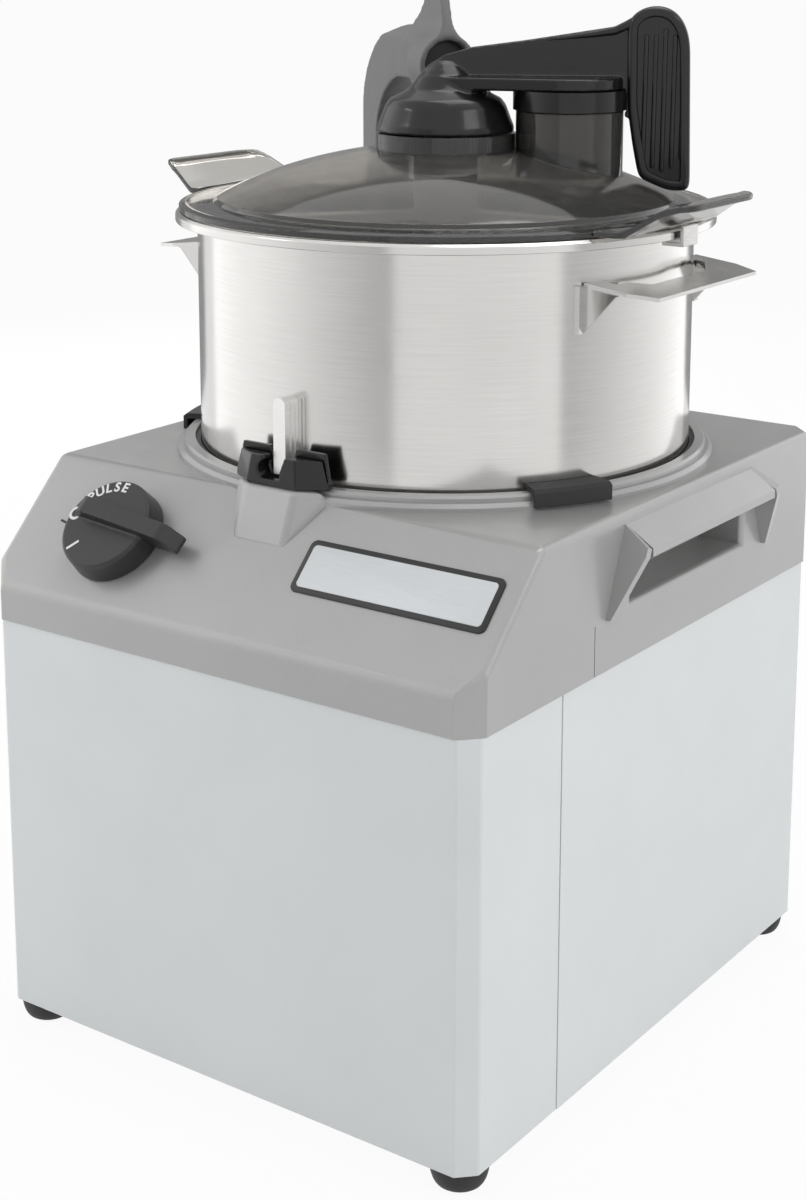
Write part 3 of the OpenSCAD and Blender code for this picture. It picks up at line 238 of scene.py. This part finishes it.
floor_mat = bpy.data.materials.new("floor")
ground = empty_tree(floor_mat)
white_beyond(ground, add(ground, "BsdfDiffuse", Color=(0.86, 0.86, 0.86, 1)),
             add(ground, "Emission", Color=(1, 1, 1, 1)), 0.93, "OutputMaterial")
plane = bmesh.new()
bmesh.ops.create_grid(plane, x_segments=1, y_segments=1, size=20)
mesh_object("floor", plane, floor_mat)


# Finishes

NOISE_LOW = 0.3
NOISE_HIGH = 0.7
TURNED_STEP = 0.002


def noise(tree, size, detail, vector):
    """A noise whose blots are about a size across, in metres."""
    return add(tree, "TexNoise", Scale=1 / size, Detail=detail, Vector=vector).outputs["Fac"]


def between(tree, factor, low, high):
    """A noise's middle range spread from low to high."""
    return add(tree, "MapRange", Value=factor, From_Min=NOISE_LOW, From_Max=NOISE_HIGH,
               To_Min=low, To_Max=high).outputs["Result"]


def round_the_bowl(tree, where):
    """Coordinates that hardly change round the bowl, so that a grain on them runs round it."""
    place = add(tree, "SeparateXYZ", Vector=where).outputs
    angle = reckon(tree, "ARCTAN2", reckon(tree, "SUBTRACT", place["Y"], BOWL_Y), place["X"])
    along = reckon(tree, "MULTIPLY", angle, TURNED_STEP)
    return add(tree, "CombineXYZ", X=along, Z=place["Z"]).outputs[0]


def finish(name, colour, rough, tone=0.03, tone_size=0.05, grain=0.0, grain_size=0.0006,
           relief=0.0, relief_size=0.0008, spread=0.04, stretch=None, turned=False,
           density=0.0, through=(1, 1, 1), **sockets):
    """A surface whose tone, grain, gloss and relief vary a little, as the real one's do."""
    mat = bpy.data.materials.new(name)
    mat.use_nodes = True
    tree = mat.node_tree
    shader = tree.nodes["Principled BSDF"]
    for socket, value in sockets.items():
        fill(tree, shader.inputs[socket.replace("_", " ")], value)
    where = add(tree, "TexCoord").outputs["Object"]
    fine = where
    if turned:
        fine = round_the_bowl(tree, where)
    elif stretch:
        fine = add(tree, "Mapping", Vector=where, Scale=stretch).outputs["Vector"]

    ramp = add(tree, "ValToRGB", Fac=noise(tree, tone_size, 2.0, where))
    ends = ((NOISE_LOW, 1 - tone), (NOISE_HIGH, 1 + tone))
    for stop, (position, share) in zip(ramp.color_ramp.elements, ends):
        stop.position = position
        stop.color = (*[min(c * share, 1) for c in colour], 1)
    base = ramp.outputs["Color"]
    if grain:
        level = between(tree, noise(tree, grain_size, 3.0, fine), 1 - grain, 1 + grain)
        grained = add(tree, "VectorMath")
        grained.operation = "SCALE"
        fill(tree, grained.inputs[0], base)
        fill(tree, grained.inputs["Scale"], level)
        base = grained.outputs["Vector"]
    fill(tree, shader.inputs["Base Color"], base)
    gloss = between(tree, noise(tree, tone_size / 3, 3.0, where), rough - spread, rough + spread)
    fill(tree, shader.inputs["Roughness"], gloss)
    if density:
        depth = add(tree, "VolumeAbsorption", Color=(*through, 1), Density=density)
        tree.links.new(depth.outputs[0], tree.nodes["Material Output"].inputs["Volume"])
    if relief:
        bump = add(tree, "Bump", Distance=relief, Strength=1.0,
                   Height=noise(tree, relief_size, 3.0, fine))
        fill(tree, shader.inputs["Normal"], bump.outputs["Normal"])
    return mat


LOOKS = {
    "panel_white": dict(colour=(0.66, 0.68, 0.685), rough=0.40, tone=0.015, grain=0.01,
                        relief=0.000012, relief_size=0.0012, Coat_Weight=0.15,
                        Coat_Roughness=0.3),
    "cast_grey": dict(colour=(0.37, 0.37, 0.365), rough=0.34, tone=0.02, grain=0.05,
                      grain_size=0.00035, relief=0.000012, relief_size=0.0011,
                      Metallic=0.3, Coat_Weight=0.45, Coat_Roughness=0.14),
    "bowl_steel": dict(colour=(0.66, 0.65, 0.635), rough=0.17, spread=0.02, tone=0.02,
                       grain=0.03, grain_size=0.0006, relief=0.0000012, relief_size=0.0007,
                       turned=True, Metallic=1.0),
    "steel": dict(colour=(0.58, 0.57, 0.56), rough=0.24, tone=0.03, grain=0.05,
                  relief=0.000002, relief_size=0.0006, stretch=(1, 0.08, 1), Metallic=1.0),
    "lug_steel": dict(colour=(0.80, 0.79, 0.78), rough=0.34, tone=0.03, grain=0.04,
                      relief=0.000003, stretch=(1, 0.08, 1), Metallic=0.75),
    "zinc": dict(colour=(0.52, 0.53, 0.54), rough=0.42, tone=0.12, tone_size=0.012,
                 grain=0.05, relief=0.000006, relief_size=0.002, Metallic=0.9),
    "black_rubber": dict(colour=(0.016, 0.016, 0.017), rough=0.62, tone=0.15, grain=0.12,
                         relief=0.00002, relief_size=0.0008),
    "black_plastic": dict(colour=(0.0085, 0.0083, 0.009), rough=0.21, spread=0.03, tone=0.08,
                          grain=0.05, relief=0.000004, relief_size=0.0012, Coat_Weight=0.2,
                          Coat_Roughness=0.08, Specular_IOR_Level=0.34),
    "knob_grey": dict(colour=(0.019, 0.0185, 0.020), rough=0.38, tone=0.06, grain=0.1,
                      relief=0.00001, relief_size=0.0007),
    "smoked": dict(colour=(0.93, 0.92, 0.90), rough=0.05, tone=0.03, spread=0.015,
                   relief=0.000003, relief_size=0.004, density=330,
                   through=(0.44, 0.42, 0.385), Transmission_Weight=0.96, IOR=1.49),
    "clear": dict(colour=(0.93, 0.92, 0.90), rough=0.05, tone=0.02, spread=0.02,
                  relief=0.000003, relief_size=0.004, density=1500,
                  through=(0.46, 0.44, 0.41), Transmission_Weight=0.96, IOR=1.49),
    "white_plastic": dict(colour=(0.72, 0.72, 0.70), rough=0.38, tone=0.02, relief=0.000008,
                          relief_size=0.001),
    "arm_grey": dict(colour=(0.165, 0.161, 0.164), rough=0.44, tone=0.03, grain=0.05,
                     grain_size=0.0004, relief=0.000014, relief_size=0.001),
    "motor_alu": dict(colour=(0.50, 0.50, 0.50), rough=0.45, tone=0.06, grain=0.08,
                      relief=0.00003, relief_size=0.0015, Metallic=0.85),
    "motor_paint": dict(colour=(0.05, 0.055, 0.06), rough=0.5, tone=0.08, grain=0.06,
                        relief=0.00002, relief_size=0.0012),
    "laminations": dict(colour=(0.30, 0.29, 0.29), rough=0.45, tone=0.06, grain=0.25,
                        grain_size=0.0005, stretch=(0.02, 0.02, 1), Metallic=0.9),
    "bronze": dict(colour=(0.43, 0.27, 0.12), rough=0.35, tone=0.08, grain=0.1,
                   relief=0.00001, Metallic=1.0),
    "board_green": dict(colour=(0.03, 0.14, 0.06), rough=0.4, tone=0.15, tone_size=0.004,
                        relief=0.00002, relief_size=0.002),
    "can_grey": dict(colour=(0.42, 0.43, 0.45), rough=0.4, tone=0.05, grain=0.04,
                     relief=0.00001, Metallic=0.6),
    "white_print": dict(colour=(0.78, 0.78, 0.78), rough=0.4, tone=0.03, grain=0.03,
                        relief=0.000004),
    "black_print": dict(colour=(0.012, 0.012, 0.013), rough=0.35, tone=0.1, grain=0.05,
                        relief=0.000004),
    "badge_field": dict(colour=(0.63, 0.65, 0.66), rough=0.36, tone=0.02, grain=0.03,
                        stretch=(0.05, 1, 1), relief=0.000004),
}
FINISHES = {name: finish(name, **look) for name, look in LOOKS.items()}

MADE_OF = {
    "panel_white": ["front_panel", "rear_panel"],
    "cast_grey": ["top_cover"],
    "bowl_steel": ["bowl_shell", "bowl_tube"],
    "steel": ["foot_screws", "panel_screws", "flange_bolts", "upper_bearing", "lower_bearing",
              "drive_shaft", "knife_blade_lower", "knife_blade_upper", "bowl_handle_left",
              "bowl_handle_right", "lock_lug", "lid_hooks", "scraper_shaft", "knob_spindle",
              "arm_post", "knife_hub"],
    "zinc": ["base_plate", "capacitor_clip"],
    "black_rubber": ["feet", "seat_pads", "seat_ring", "shaft_seal", "arm_pad"],
    "black_plastic": ["cord_gland", "lock_bracket", "switch_body", "interlock_switch",
                      "cooling_fan", "knife_cap", "scraper_handle", "tube_stopper",
                      "arm_cam"],
    "knob_grey": ["knob"],
    "smoked": ["lid_dome", "lid_grip_left", "lid_grip_right"],
    "clear": ["feed_tube"],
    "white_plastic": ["lid_seal", "lid_bush", "scraper_frame", "scraper_blades"],
    "arm_grey": ["safety_arm"],
    "motor_alu": ["motor_flange", "end_bell", "rotor"],
    "motor_paint": ["motor_shell"],
    "laminations": ["stator"],
    "bronze": ["arm_bush"],
    "board_green": ["control_board"],
    "can_grey": ["capacitor"],
}
slot_of = {node: slot for slot, members in MADE_OF.items() for node in members}

for name, obj in nodes.items():
    obj.data.materials.clear()
    obj.data.materials.append(FINISHES[slot_of[name]])


# Making pieces

NEAR = 0.0001
SAME_POINT = 0.000002
SEAM_GAP = 0.00001
FLAT_ANGLE = math.radians(0.5)
EDGE_ANGLE = math.radians(28)
CORNER_ANGLE = math.radians(30)
SHORTEST_EDGE = 0.003
SKIN_SMOOTH = 40
FUSED_SMOOTH = 180


def piece(name, bm, body, look, smooth=30):
    """A finished piece that rides on a body, with edges below an angle shaded smooth."""
    bmesh.ops.recalc_face_normals(bm, faces=bm.faces)
    obj = mesh_object(name, bm, FINISHES[look])
    obj.data.shade_smooth()
    obj.data.set_sharp_from_angle(angle=math.radians(smooth))
    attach(obj, body)
    return obj


def stand_in(name, bm, node, smooth, look=None):
    """A piece that replaces a node, on the node's body and in its finish."""
    slot = slot_of[node]
    obj = piece(name, bm, body_of[node], look or slot, smooth)
    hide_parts(node)
    return obj


def merged(node, move=None):
    """A copy of a node's own triangles, moved if need be and joined at their corners."""
    bm = bmesh.new()
    bm.from_mesh(nodes[node].data)
    if move:
        move(bm)
    bmesh.ops.remove_doubles(bm, verts=bm.verts, dist=SAME_POINT)
    return bm


def raised(region):
    """The new points of an extrusion."""
    return [v for v in region["geom"] if isinstance(v, bmesh.types.BMVert)]


def round_edges(obj, width, segments, angle):
    """Bevels the edges of a piece that are sharper than an angle."""
    bevel = obj.modifiers.new("edges", "BEVEL")
    bevel.width = width
    bevel.segments = segments
    bevel.limit_method = "ANGLE"
    bevel.angle_limit = angle
    return bevel


def run_together(obj, voxel, rounds):
    """Fuses a piece's solids and softens their edges, as a moulding's or a casting's are."""
    fused = obj.modifiers.new("fused", "REMESH")
    fused.mode = "VOXEL"
    fused.voxel_size = voxel
    fused.use_smooth_shade = True
    softened = obj.modifiers.new("soft", "SMOOTH")
    softened.factor = 0.5
    softened.iterations = rounds


def skin(node, width, rounder=(), look=None):
    """The node's own solid with its edges broken, and chosen edges rounded more."""
    bm = merged(node)
    bmesh.ops.dissolve_limit(bm, angle_limit=FLAT_ANGLE, verts=bm.verts, edges=bm.edges)
    for belongs, radius in rounder:
        chosen = [e for e in bm.edges if len(e.link_faces) == 2
                  and all(belongs(v.co) for v in e.verts) and e.calc_length() > SHORTEST_EDGE
                  and e.calc_face_angle_signed() > CORNER_ANGLE]
        bmesh.ops.bevel(bm, geom=chosen, offset=radius, segments=4, affect="EDGES",
                        profile=0.5, material=-1, clamp_overlap=False, offset_type="OFFSET")
    obj = stand_in(node + "_skin", bm, node, SKIN_SMOOTH, look)
    edges = round_edges(obj, width, segments=2, angle=EDGE_ANGLE)
    edges.miter_outer = "MITER_ARC"
    flats = obj.modifiers.new("flats", "WEIGHTED_NORMAL")
    flats.weight = 80
    flats.keep_sharp = True


# The cover's edges that are rounded more

BOSS_LOW = (-0.0261, -0.1275, 0.2659)
BOSS_HIGH = (0.0261, -0.1092, 0.2896)
COVER_HALF_X = 0.1425
COVER_HALF_Y = side_of("top_cover", HIGH, Y)
COVER_TOP_Z = 0.283
SKIRT_FOOT_Z = 0.2125
SIDE_FRONT_Y = -0.1526
SLOPE_TOP_Y = -0.1095


def boss_edge(p):
    """On the lock's boss."""
    return all(low < c < high for low, c, high in zip(BOSS_LOW, p, BOSS_HIGH))


def outer_edge(p):
    """On the cover's sides, front or back, or along the top of its slope."""
    side = abs(p.x) > COVER_HALF_X - NEAR and p.y > SIDE_FRONT_Y
    end = abs(p.y) > COVER_HALF_Y - NEAR
    crest = abs(p.y - SLOPE_TOP_Y) < NEAR and p.z > COVER_TOP_Z - NEAR
    return p.z > SKIRT_FOOT_Z and abs(p.x) < COVER_HALF_X + NEAR and (side or end or crest)


skin("top_cover", 0.0006, rounder=((boss_edge, 0.0030), (outer_edge, 0.0034)))
skin("lock_lug", 0.0004, look="lug_steel")
for node, width in {"front_panel": 0.0008, "rear_panel": 0.0008, "feet": 0.0012,
                    "bowl_handle_left": 0.0005, "bowl_handle_right": 0.0005,
                    "lid_hooks": 0.0004, "bowl_shell": 0.0004, "lid_dome": 0.0006,
                    "feed_tube": 0.0006}.items():
    skin(node, width)
for node, voxel, rounds in (("lock_bracket", 0.00045, 6), ("knob", 0.00045, 7),
                            ("safety_arm", 0.0010, 8)):
    run_together(stand_in(node + "_skin", merged(node), node, FUSED_SMOOTH), voxel, rounds)


# The scraper's handle, in its own plane: X along it, Y across it, Z up

HANDLE_TURN = math.radians(28)
BODY_END = 0.094
FIN_HALF = 0.0045
FIN_SKIN = 0.0004
ROOT_SHRINK = 0.95
FLANGE_LOW = 0.4620
FLANGE_HIGH = 0.4700
PADDLE_IN = 0.088
PADDLE_MID_Z = 0.459
PADDLE_HALF = 0.0065
PADDLE_FACE = 0.0050
PADDLE_ROUND = 0.0024
OUTLINE_STEP = 0.0018
OUTLINE_ROUNDS = 7
BORDER_STEPS = [(0.0006, 0)] * 3
FACE_STEPS = [(0.0004, -0.0003), (0.0004, -0.0012)]
STEP_MERGE = 0.0008
SQUARE = 0.99
GROOVE_MIDDLE = 0.1063
GROOVE_PITCH = 0.0046
GROOVE_LOW = 0.4210
GROOVE_HIGH = 0.4965
GROOVE_DEPTH = 0.0011
RIB_RADIUS = 0.00125
RIB_FLAT = 0.9
RIB_LOW = 0.4248
RIB_LEN = 0.0672
RIB_RISE = 0.0016
RIB_SHORTER = 0.0046
RIB_LEAN_LOW = 0.0008
RIB_LEAN_HIGH = 0.0015
RIDGE_RADIUS = 0.001
RIDGE_Y = 0.0040
RIDGE = ((0.046, 0.4866, 0.3), (0.060, 0.4884, 1.0), (0.074, 0.4902, 1.6),
         (0.083, 0.4916, 2.0), (0.089, 0.4944, 2.2), (0.094, 0.4975, 2.0))


def into_handle(bm):
    """From the room to the handle's own plane."""
    bmesh.ops.translate(bm, vec=(0, -BOWL_Y, 0), verts=bm.verts)
    bmesh.ops.rotate(bm, matrix=Matrix.Rotation(-HANDLE_TURN, 3, "Z"), verts=bm.verts)


def out_of_handle(bm):
    """From the handle's own plane back to the room."""
    bmesh.ops.rotate(bm, matrix=Matrix.Rotation(HANDLE_TURN, 3, "Z"), verts=bm.verts)
    bmesh.ops.translate(bm, vec=(0, BOWL_Y, 0), verts=bm.verts)


def handle_body():
    """Hub, fin and flange, cut off inside the paddle and thinned to the fin there."""
    bm = merged("scraper_handle", into_handle)
    bmesh.ops.bisect_plane(bm, geom=bm.verts[:] + bm.edges[:] + bm.faces[:],
                           plane_co=(BODY_END, 0, 0), plane_no=(1, 0, 0), clear_outer=True)
    bmesh.ops.holes_fill(bm, edges=[e for e in bm.edges if e.is_boundary], sides=0)
    for v in bm.verts:
        thick = abs(v.co.y) > FIN_HALF and not FLANGE_LOW < v.co.z < FLANGE_HIGH
        if v.co.x > PADDLE_IN and thick:
            v.co.y = math.copysign(FIN_HALF - FIN_SKIN, v.co.y)
            v.co.z = PADDLE_MID_Z + (v.co.z - PADDLE_MID_Z) * ROOT_SHRINK
    bmesh.ops.remove_doubles(bm, verts=bm.verts, dist=SAME_POINT)
    out_of_handle(bm)
    body = stand_in("handle_body", bm, "scraper_handle", FUSED_SMOOTH)
    run_together(body, voxel=0.0009, rounds=6)


def groove_edge(edge, wall):
    """Whether an edge of the paddle's flat face is a groove's, and not the outline's."""
    middle = (edge.verts[0].co + edge.verts[1].co) / 2
    across = abs(middle.x - GROOVE_MIDDLE) < 2.5 * GROOVE_PITCH
    inside = across and GROOVE_LOW < middle.z < GROOVE_HIGH
    upright = max(abs(wall.normal.x), abs(wall.normal.z)) > SQUARE
    shallow = -PADDLE_HALF < wall.calc_center_median().y < GROOVE_DEPTH - PADDLE_HALF
    return inside and upright and shallow


def paddle_outline():
    """The paddle's outline, read from the node's own flat face."""
    src = merged("scraper_handle", into_handle)
    face = {f for f in src.faces if f.normal.y < -SQUARE
            and abs(f.calc_center_median().y + PADDLE_HALF) < NEAR}
    beside = {}
    for e in src.edges:
        walls = [f for f in e.link_faces if f not in face]
        if 0 < len(walls) < len(e.link_faces) and not any(groove_edge(e, w) for w in walls):
            for a, b in (e.verts, reversed(e.verts)):
                beside.setdefault(a.index, []).append(b.index)
    src.verts.ensure_lookup_table()
    here = start = next(iter(beside))
    loop, last = [], None
    while here != start or not loop:
        loop.append(src.verts[here].co.copy())
        last, here = here, next(k for k in beside[here] if k != last)
    src.free()
    return loop


def paddle_front():
    """Half the paddle's thickness: its rounded border and its sunk face."""
    bm = bmesh.new()
    corners = [bm.verts.new(p) for p in paddle_outline()]
    edges = [bm.edges.new(pair) for pair in zip(corners, corners[1:] + corners[:1])]
    for e in sorted(edges, key=lambda e: -e.calc_length()):
        cuts = int(e.calc_length() / OUTLINE_STEP)
        if cuts:
            bmesh.ops.subdivide_edges(bm, edges=[e], cuts=cuts)
    for _ in range(OUTLINE_ROUNDS):
        bmesh.ops.smooth_vert(bm, verts=bm.verts, factor=0.5, use_axis_x=True, use_axis_z=True)
    bmesh.ops.contextual_create(bm, geom=list(bm.edges))
    bm.faces.ensure_lookup_table()
    front = bm.faces[0]
    if front.normal.y > 0:
        bmesh.ops.reverse_faces(bm, faces=[front])
    bmesh.ops.translate(bm, vec=(0, PADDLE_ROUND, 0), verts=bm.verts)
    sides = bmesh.ops.extrude_edge_only(bm, edges=list(front.edges))
    bmesh.ops.translate(bm, vec=(0, PADDLE_HALF - PADDLE_ROUND, 0), verts=raised(sides))

    # Each step goes inward and outward: a quarter round, the flat border and the drop to the face
    turns = [math.radians(22.5 * k) for k in range(5)]
    round_steps = [(PADDLE_ROUND * (math.cos(a) - math.cos(b)),
                    PADDLE_ROUND * (math.sin(b) - math.sin(a)))
                   for a, b in zip(turns, turns[1:])]
    for inward, outward in round_steps + BORDER_STEPS + FACE_STEPS:
        bmesh.ops.inset_region(bm, faces=[front], thickness=inward, depth=outward,
                               use_even_offset=True)
        bmesh.ops.remove_doubles(bm, verts=list(front.verts), dist=STEP_MERGE)
        front = max(bm.faces, key=lambda f: len(f.verts))
    return bm


def paddle():
    """The paddle with its border, face and ribs, alike on both sides."""
    bm = paddle_front()

    # A rib is a ball drawn out to a rod. The outer ones are shorter, and all lean with the border
    for i in range(-2, 3):
        rib = bmesh.ops.create_uvsphere(bm, u_segments=12, v_segments=8, radius=RIB_RADIUS)
        low = RIB_LOW + RIB_RISE * i * i
        high = low + RIB_LEN - RIB_SHORTER * abs(i)
        for v in rib["verts"]:
            v.co.y = v.co.y * RIB_FLAT - PADDLE_FACE
            v.co.z += high if v.co.z > SEAM_GAP else low
            lean = RIB_LEAN_HIGH if v.co.z > PADDLE_MID_Z else RIB_LEAN_LOW
            v.co.x += GROOVE_MIDDLE + i * GROOVE_PITCH + lean
    bmesh.ops.mirror(bm, geom=bm.verts[:] + bm.edges[:] + bm.faces[:],
                     merge_dist=SEAM_GAP, axis="Y")
    seam = [v for v in bm.verts if abs(v.co.y) < 2 * SEAM_GAP]
    bmesh.ops.remove_doubles(bm, verts=seam, dist=2 * SEAM_GAP)
    out_of_handle(bm)
    stand_in("handle_paddle", bm, "scraper_handle", 50)


def add_curve(bm, curve):
    """Adds a curve's or a text's mesh to a bmesh."""
    obj = linked(curve.name, curve)
    bpy.context.view_layer.update()
    made = obj.evaluated_get(bpy.context.evaluated_depsgraph_get())
    mesh = bpy.data.meshes.new_from_object(made)
    bm.from_mesh(mesh)
    bpy.data.objects.remove(obj)
    bpy.data.curves.remove(curve)
    bpy.data.meshes.remove(mesh)


def handle_ridge():
    """The rounded ridge along the fin, on both sides."""
    bm = bmesh.new()
    for side in (-1, 1):
        curve = bpy.data.curves.new("ridge", "CURVE")
        curve.dimensions = "3D"
        curve.bevel_depth = RIDGE_RADIUS
        curve.bevel_resolution = 3
        curve.use_fill_caps = True
        line = curve.splines.new("POLY")
        line.points.add(len(RIDGE) - 1)
        for point, (x, z, radius) in zip(line.points, RIDGE):
            point.co = (x, side * RIDGE_Y, z, 1)
            point.radius = radius
        add_curve(bm, curve)
    bmesh.ops.remove_doubles(bm, verts=bm.verts, dist=SEAM_GAP)
    out_of_handle(bm)
    stand_in("handle_ridge", bm, "scraper_handle", 60)


handle_body()
paddle()
handle_ridge()


# The lid's two grips

LID_R = side_of("lid_dome", HIGH, X)
CLEAR = 0.0004
GRIP_REACH = side_of("lid_grip_right", HIGH, X)
GRIP_TIP_Z = side_of("lid_grip_right", HIGH, Z) - CLEAR
GRIP_ROOT_Z = 0.4082
GRIP_HALF = 0.035
GRIP_THICK = 0.0030
GRIP_ROWS = 14
GRIP_COLUMNS = 26
RISE_FROM = 0.0015
RISE_LEN = 0.0195
LIP = 0.0026
ROOT = 0.002
CORNER = 0.011
FLARE = 0.28


def clamp(t):
    """A number held between 0 and 1."""
    return min(max(t, 0), 1)


def stretched(t, cells, length, first, last):
    """A share of a row of cells as a length, with a set first and last cell."""
    i = t * cells
    inner = (length - first - last) / (cells - 2)
    if i <= 1:
        return i * first
    if i >= cells - 1:
        return length - (cells - i) * last
    return first + (i - 1) * inner


def lid_grip(name, node, shift, turned_round=False):
    """A wing of the lid, which widens to the flange at its root and rises from it."""
    bm = bmesh.new()
    bmesh.ops.create_grid(bm, x_segments=GRIP_ROWS, y_segments=GRIP_COLUMNS, size=0.5)
    for v in bm.verts:
        along = stretched(v.co.y + 0.5, GRIP_COLUMNS, 2 * GRIP_HALF, LIP, LIP)
        side = min(along, 2 * GRIP_HALF - along)
        cut = 0
        if side < CORNER:
            cut = CORNER - math.sqrt(max(CORNER ** 2 - (CORNER - side) ** 2, 0))
        y = along - GRIP_HALF - shift
        wide = (y + shift) * (1 + FLARE) - shift
        root = math.sqrt(LID_R ** 2 - wide ** 2) + CLEAR
        reach = GRIP_REACH - CLEAR - cut
        x = root + stretched(v.co.x + 0.5, GRIP_ROWS, reach - root, ROOT, LIP)
        y += (wide - y) * clamp(1 - (x - LID_R) / (GRIP_REACH - LID_R))
        rise = clamp((x - LID_R - RISE_FROM) / RISE_LEN)
        v.co = (x, y, GRIP_ROOT_Z + (GRIP_TIP_Z - GRIP_ROOT_Z) * rise)
    under = raised(bmesh.ops.extrude_face_region(bm, geom=list(bm.faces), use_keep_orig=True))
    bmesh.ops.translate(bm, vec=(0, 0, -GRIP_THICK), verts=under)
    bmesh.ops.recalc_face_normals(bm, faces=list(bm.faces))
    if turned_round:
        bmesh.ops.rotate(bm, matrix=Matrix.Rotation(math.pi, 3, "Z"), verts=bm.verts)
    bmesh.ops.translate(bm, vec=(0, BOWL_Y, 0), verts=bm.verts)
    grip = stand_in(name, bm, node, SKIN_SMOOTH)
    round_edges(grip, width=0.0009, segments=3, angle=math.radians(40))


lid_grip("grip_right", "lid_grip_right", 0.014)
lid_grip("grip_left", "lid_grip_left", 0.004, turned_round=True)


# Badge plate and marks, on the slope: X along it, Y up it, Z out of it

FROM_SLOPE = Matrix.Translation((0, FRONT_Y, SLOPE_FOOT_Z)) @ Matrix.Rotation(SLOPE_ANGLE, 4, "X")
BADGE_PLACE = (0.081, 0.0435)
KNOB_X = -0.079
KNOB_S = SLOPE_LEN / 2
DISC_TOP = 0.0123
PRINT_THICK = 0.0001
PRINT_WEIGHT = 0.028
BAR_THICK = 0.0002
MARKS_RADIUS = 0.0198
PULSE_FROM = 144
PULSE_STEP = 14
OFF_AT = 175
OFF_TURN = 80


def on_slope(bm, x, s, lift):
    """Moves a flat mesh to its place on the slope."""
    bmesh.ops.translate(bm, vec=(x, s, lift), verts=bm.verts)
    bmesh.ops.transform(bm, matrix=FROM_SLOPE, verts=bm.verts)
    return bm


def rounded_plate(width, height, radius, thick, lift):
    """A blank plate at the badge's place, with round corners and broken edges."""
    bm = bmesh.new()
    bmesh.ops.create_grid(bm, x_segments=1, y_segments=1, size=0.5)
    bmesh.ops.scale(bm, vec=(width, height, 1), verts=bm.verts)
    bmesh.ops.bevel(bm, geom=list(bm.verts), affect="VERTICES", offset=radius, segments=6,
                    profile=0.5, material=-1)
    top = raised(bmesh.ops.extrude_face_region(bm, geom=list(bm.faces)))
    bmesh.ops.translate(bm, vec=(0, 0, thick), verts=top)
    rim = [e for e in bm.edges if all(v in top for v in e.verts)]
    bmesh.ops.bevel(bm, geom=rim, affect="EDGES", offset=thick * 0.4, segments=2,
                    profile=0.5, material=-1)
    return on_slope(bm, *BADGE_PLACE, lift)


def letter_on_knob(letter, size, degrees, turn):
    """A letter printed on the knob's disc, at an angle round its centre."""
    curve = bpy.data.curves.new("mark", "FONT")
    curve.body = letter
    curve.size = size
    curve.align_x = "CENTER"
    curve.align_y = "CENTER"
    curve.extrude = PRINT_THICK
    curve.offset = size * PRINT_WEIGHT
    bm = bmesh.new()
    add_curve(bm, curve)
    bmesh.ops.rotate(bm, matrix=Matrix.Rotation(math.radians(turn), 3, "Z"), verts=bm.verts)
    x = MARKS_RADIUS * math.cos(math.radians(degrees))
    s = MARKS_RADIUS * math.sin(math.radians(degrees))
    return on_slope(bm, KNOB_X + x, KNOB_S + s, DISC_TOP + PRINT_THICK)


def bar(start, end, width, lift=0):
    """A printed line between two places, measured from the knob's centre."""
    start, end = Vector(start), Vector(end)
    along = end - start
    middle = (start + end) / 2
    bm = bmesh.new()
    bmesh.ops.create_cube(bm, size=1)
    bmesh.ops.scale(bm, vec=(along.length, width, BAR_THICK), verts=bm.verts)
    bmesh.ops.rotate(bm, matrix=Matrix.Rotation(math.atan2(along.y, along.x), 3, "Z"),
                     verts=bm.verts)
    return on_slope(bm, KNOB_X + middle.x, KNOB_S + middle.y, lift)


back = rounded_plate(width=0.104, height=0.027, radius=0.0035, thick=0.0009, lift=-0.0001)
face = rounded_plate(width=0.0985, height=0.0215, radius=0.002, thick=0.0006, lift=0.0006)
piece("badge_back", back, "base", "black_print")
piece("badge_face", face, "base", "badge_field")
for i, letter in enumerate("PULSE"):
    degrees = PULSE_FROM - PULSE_STEP * i
    piece("mark_" + letter.lower(), letter_on_knob(letter, 0.0070, degrees, degrees - 90), "knob",
          "white_print")
piece("mark_off", letter_on_knob("O", 0.0092, OFF_AT, OFF_TURN), "knob", "white_print")
piece("mark_on", bar((-0.0093, -0.0118), (-0.0139, -0.0170), 0.0013, DISC_TOP), "knob",
      "white_print")
piece("mark_index", bar((-0.0391, 0.0020), (-0.0345, 0.0011), 0.0012), "base", "black_print")
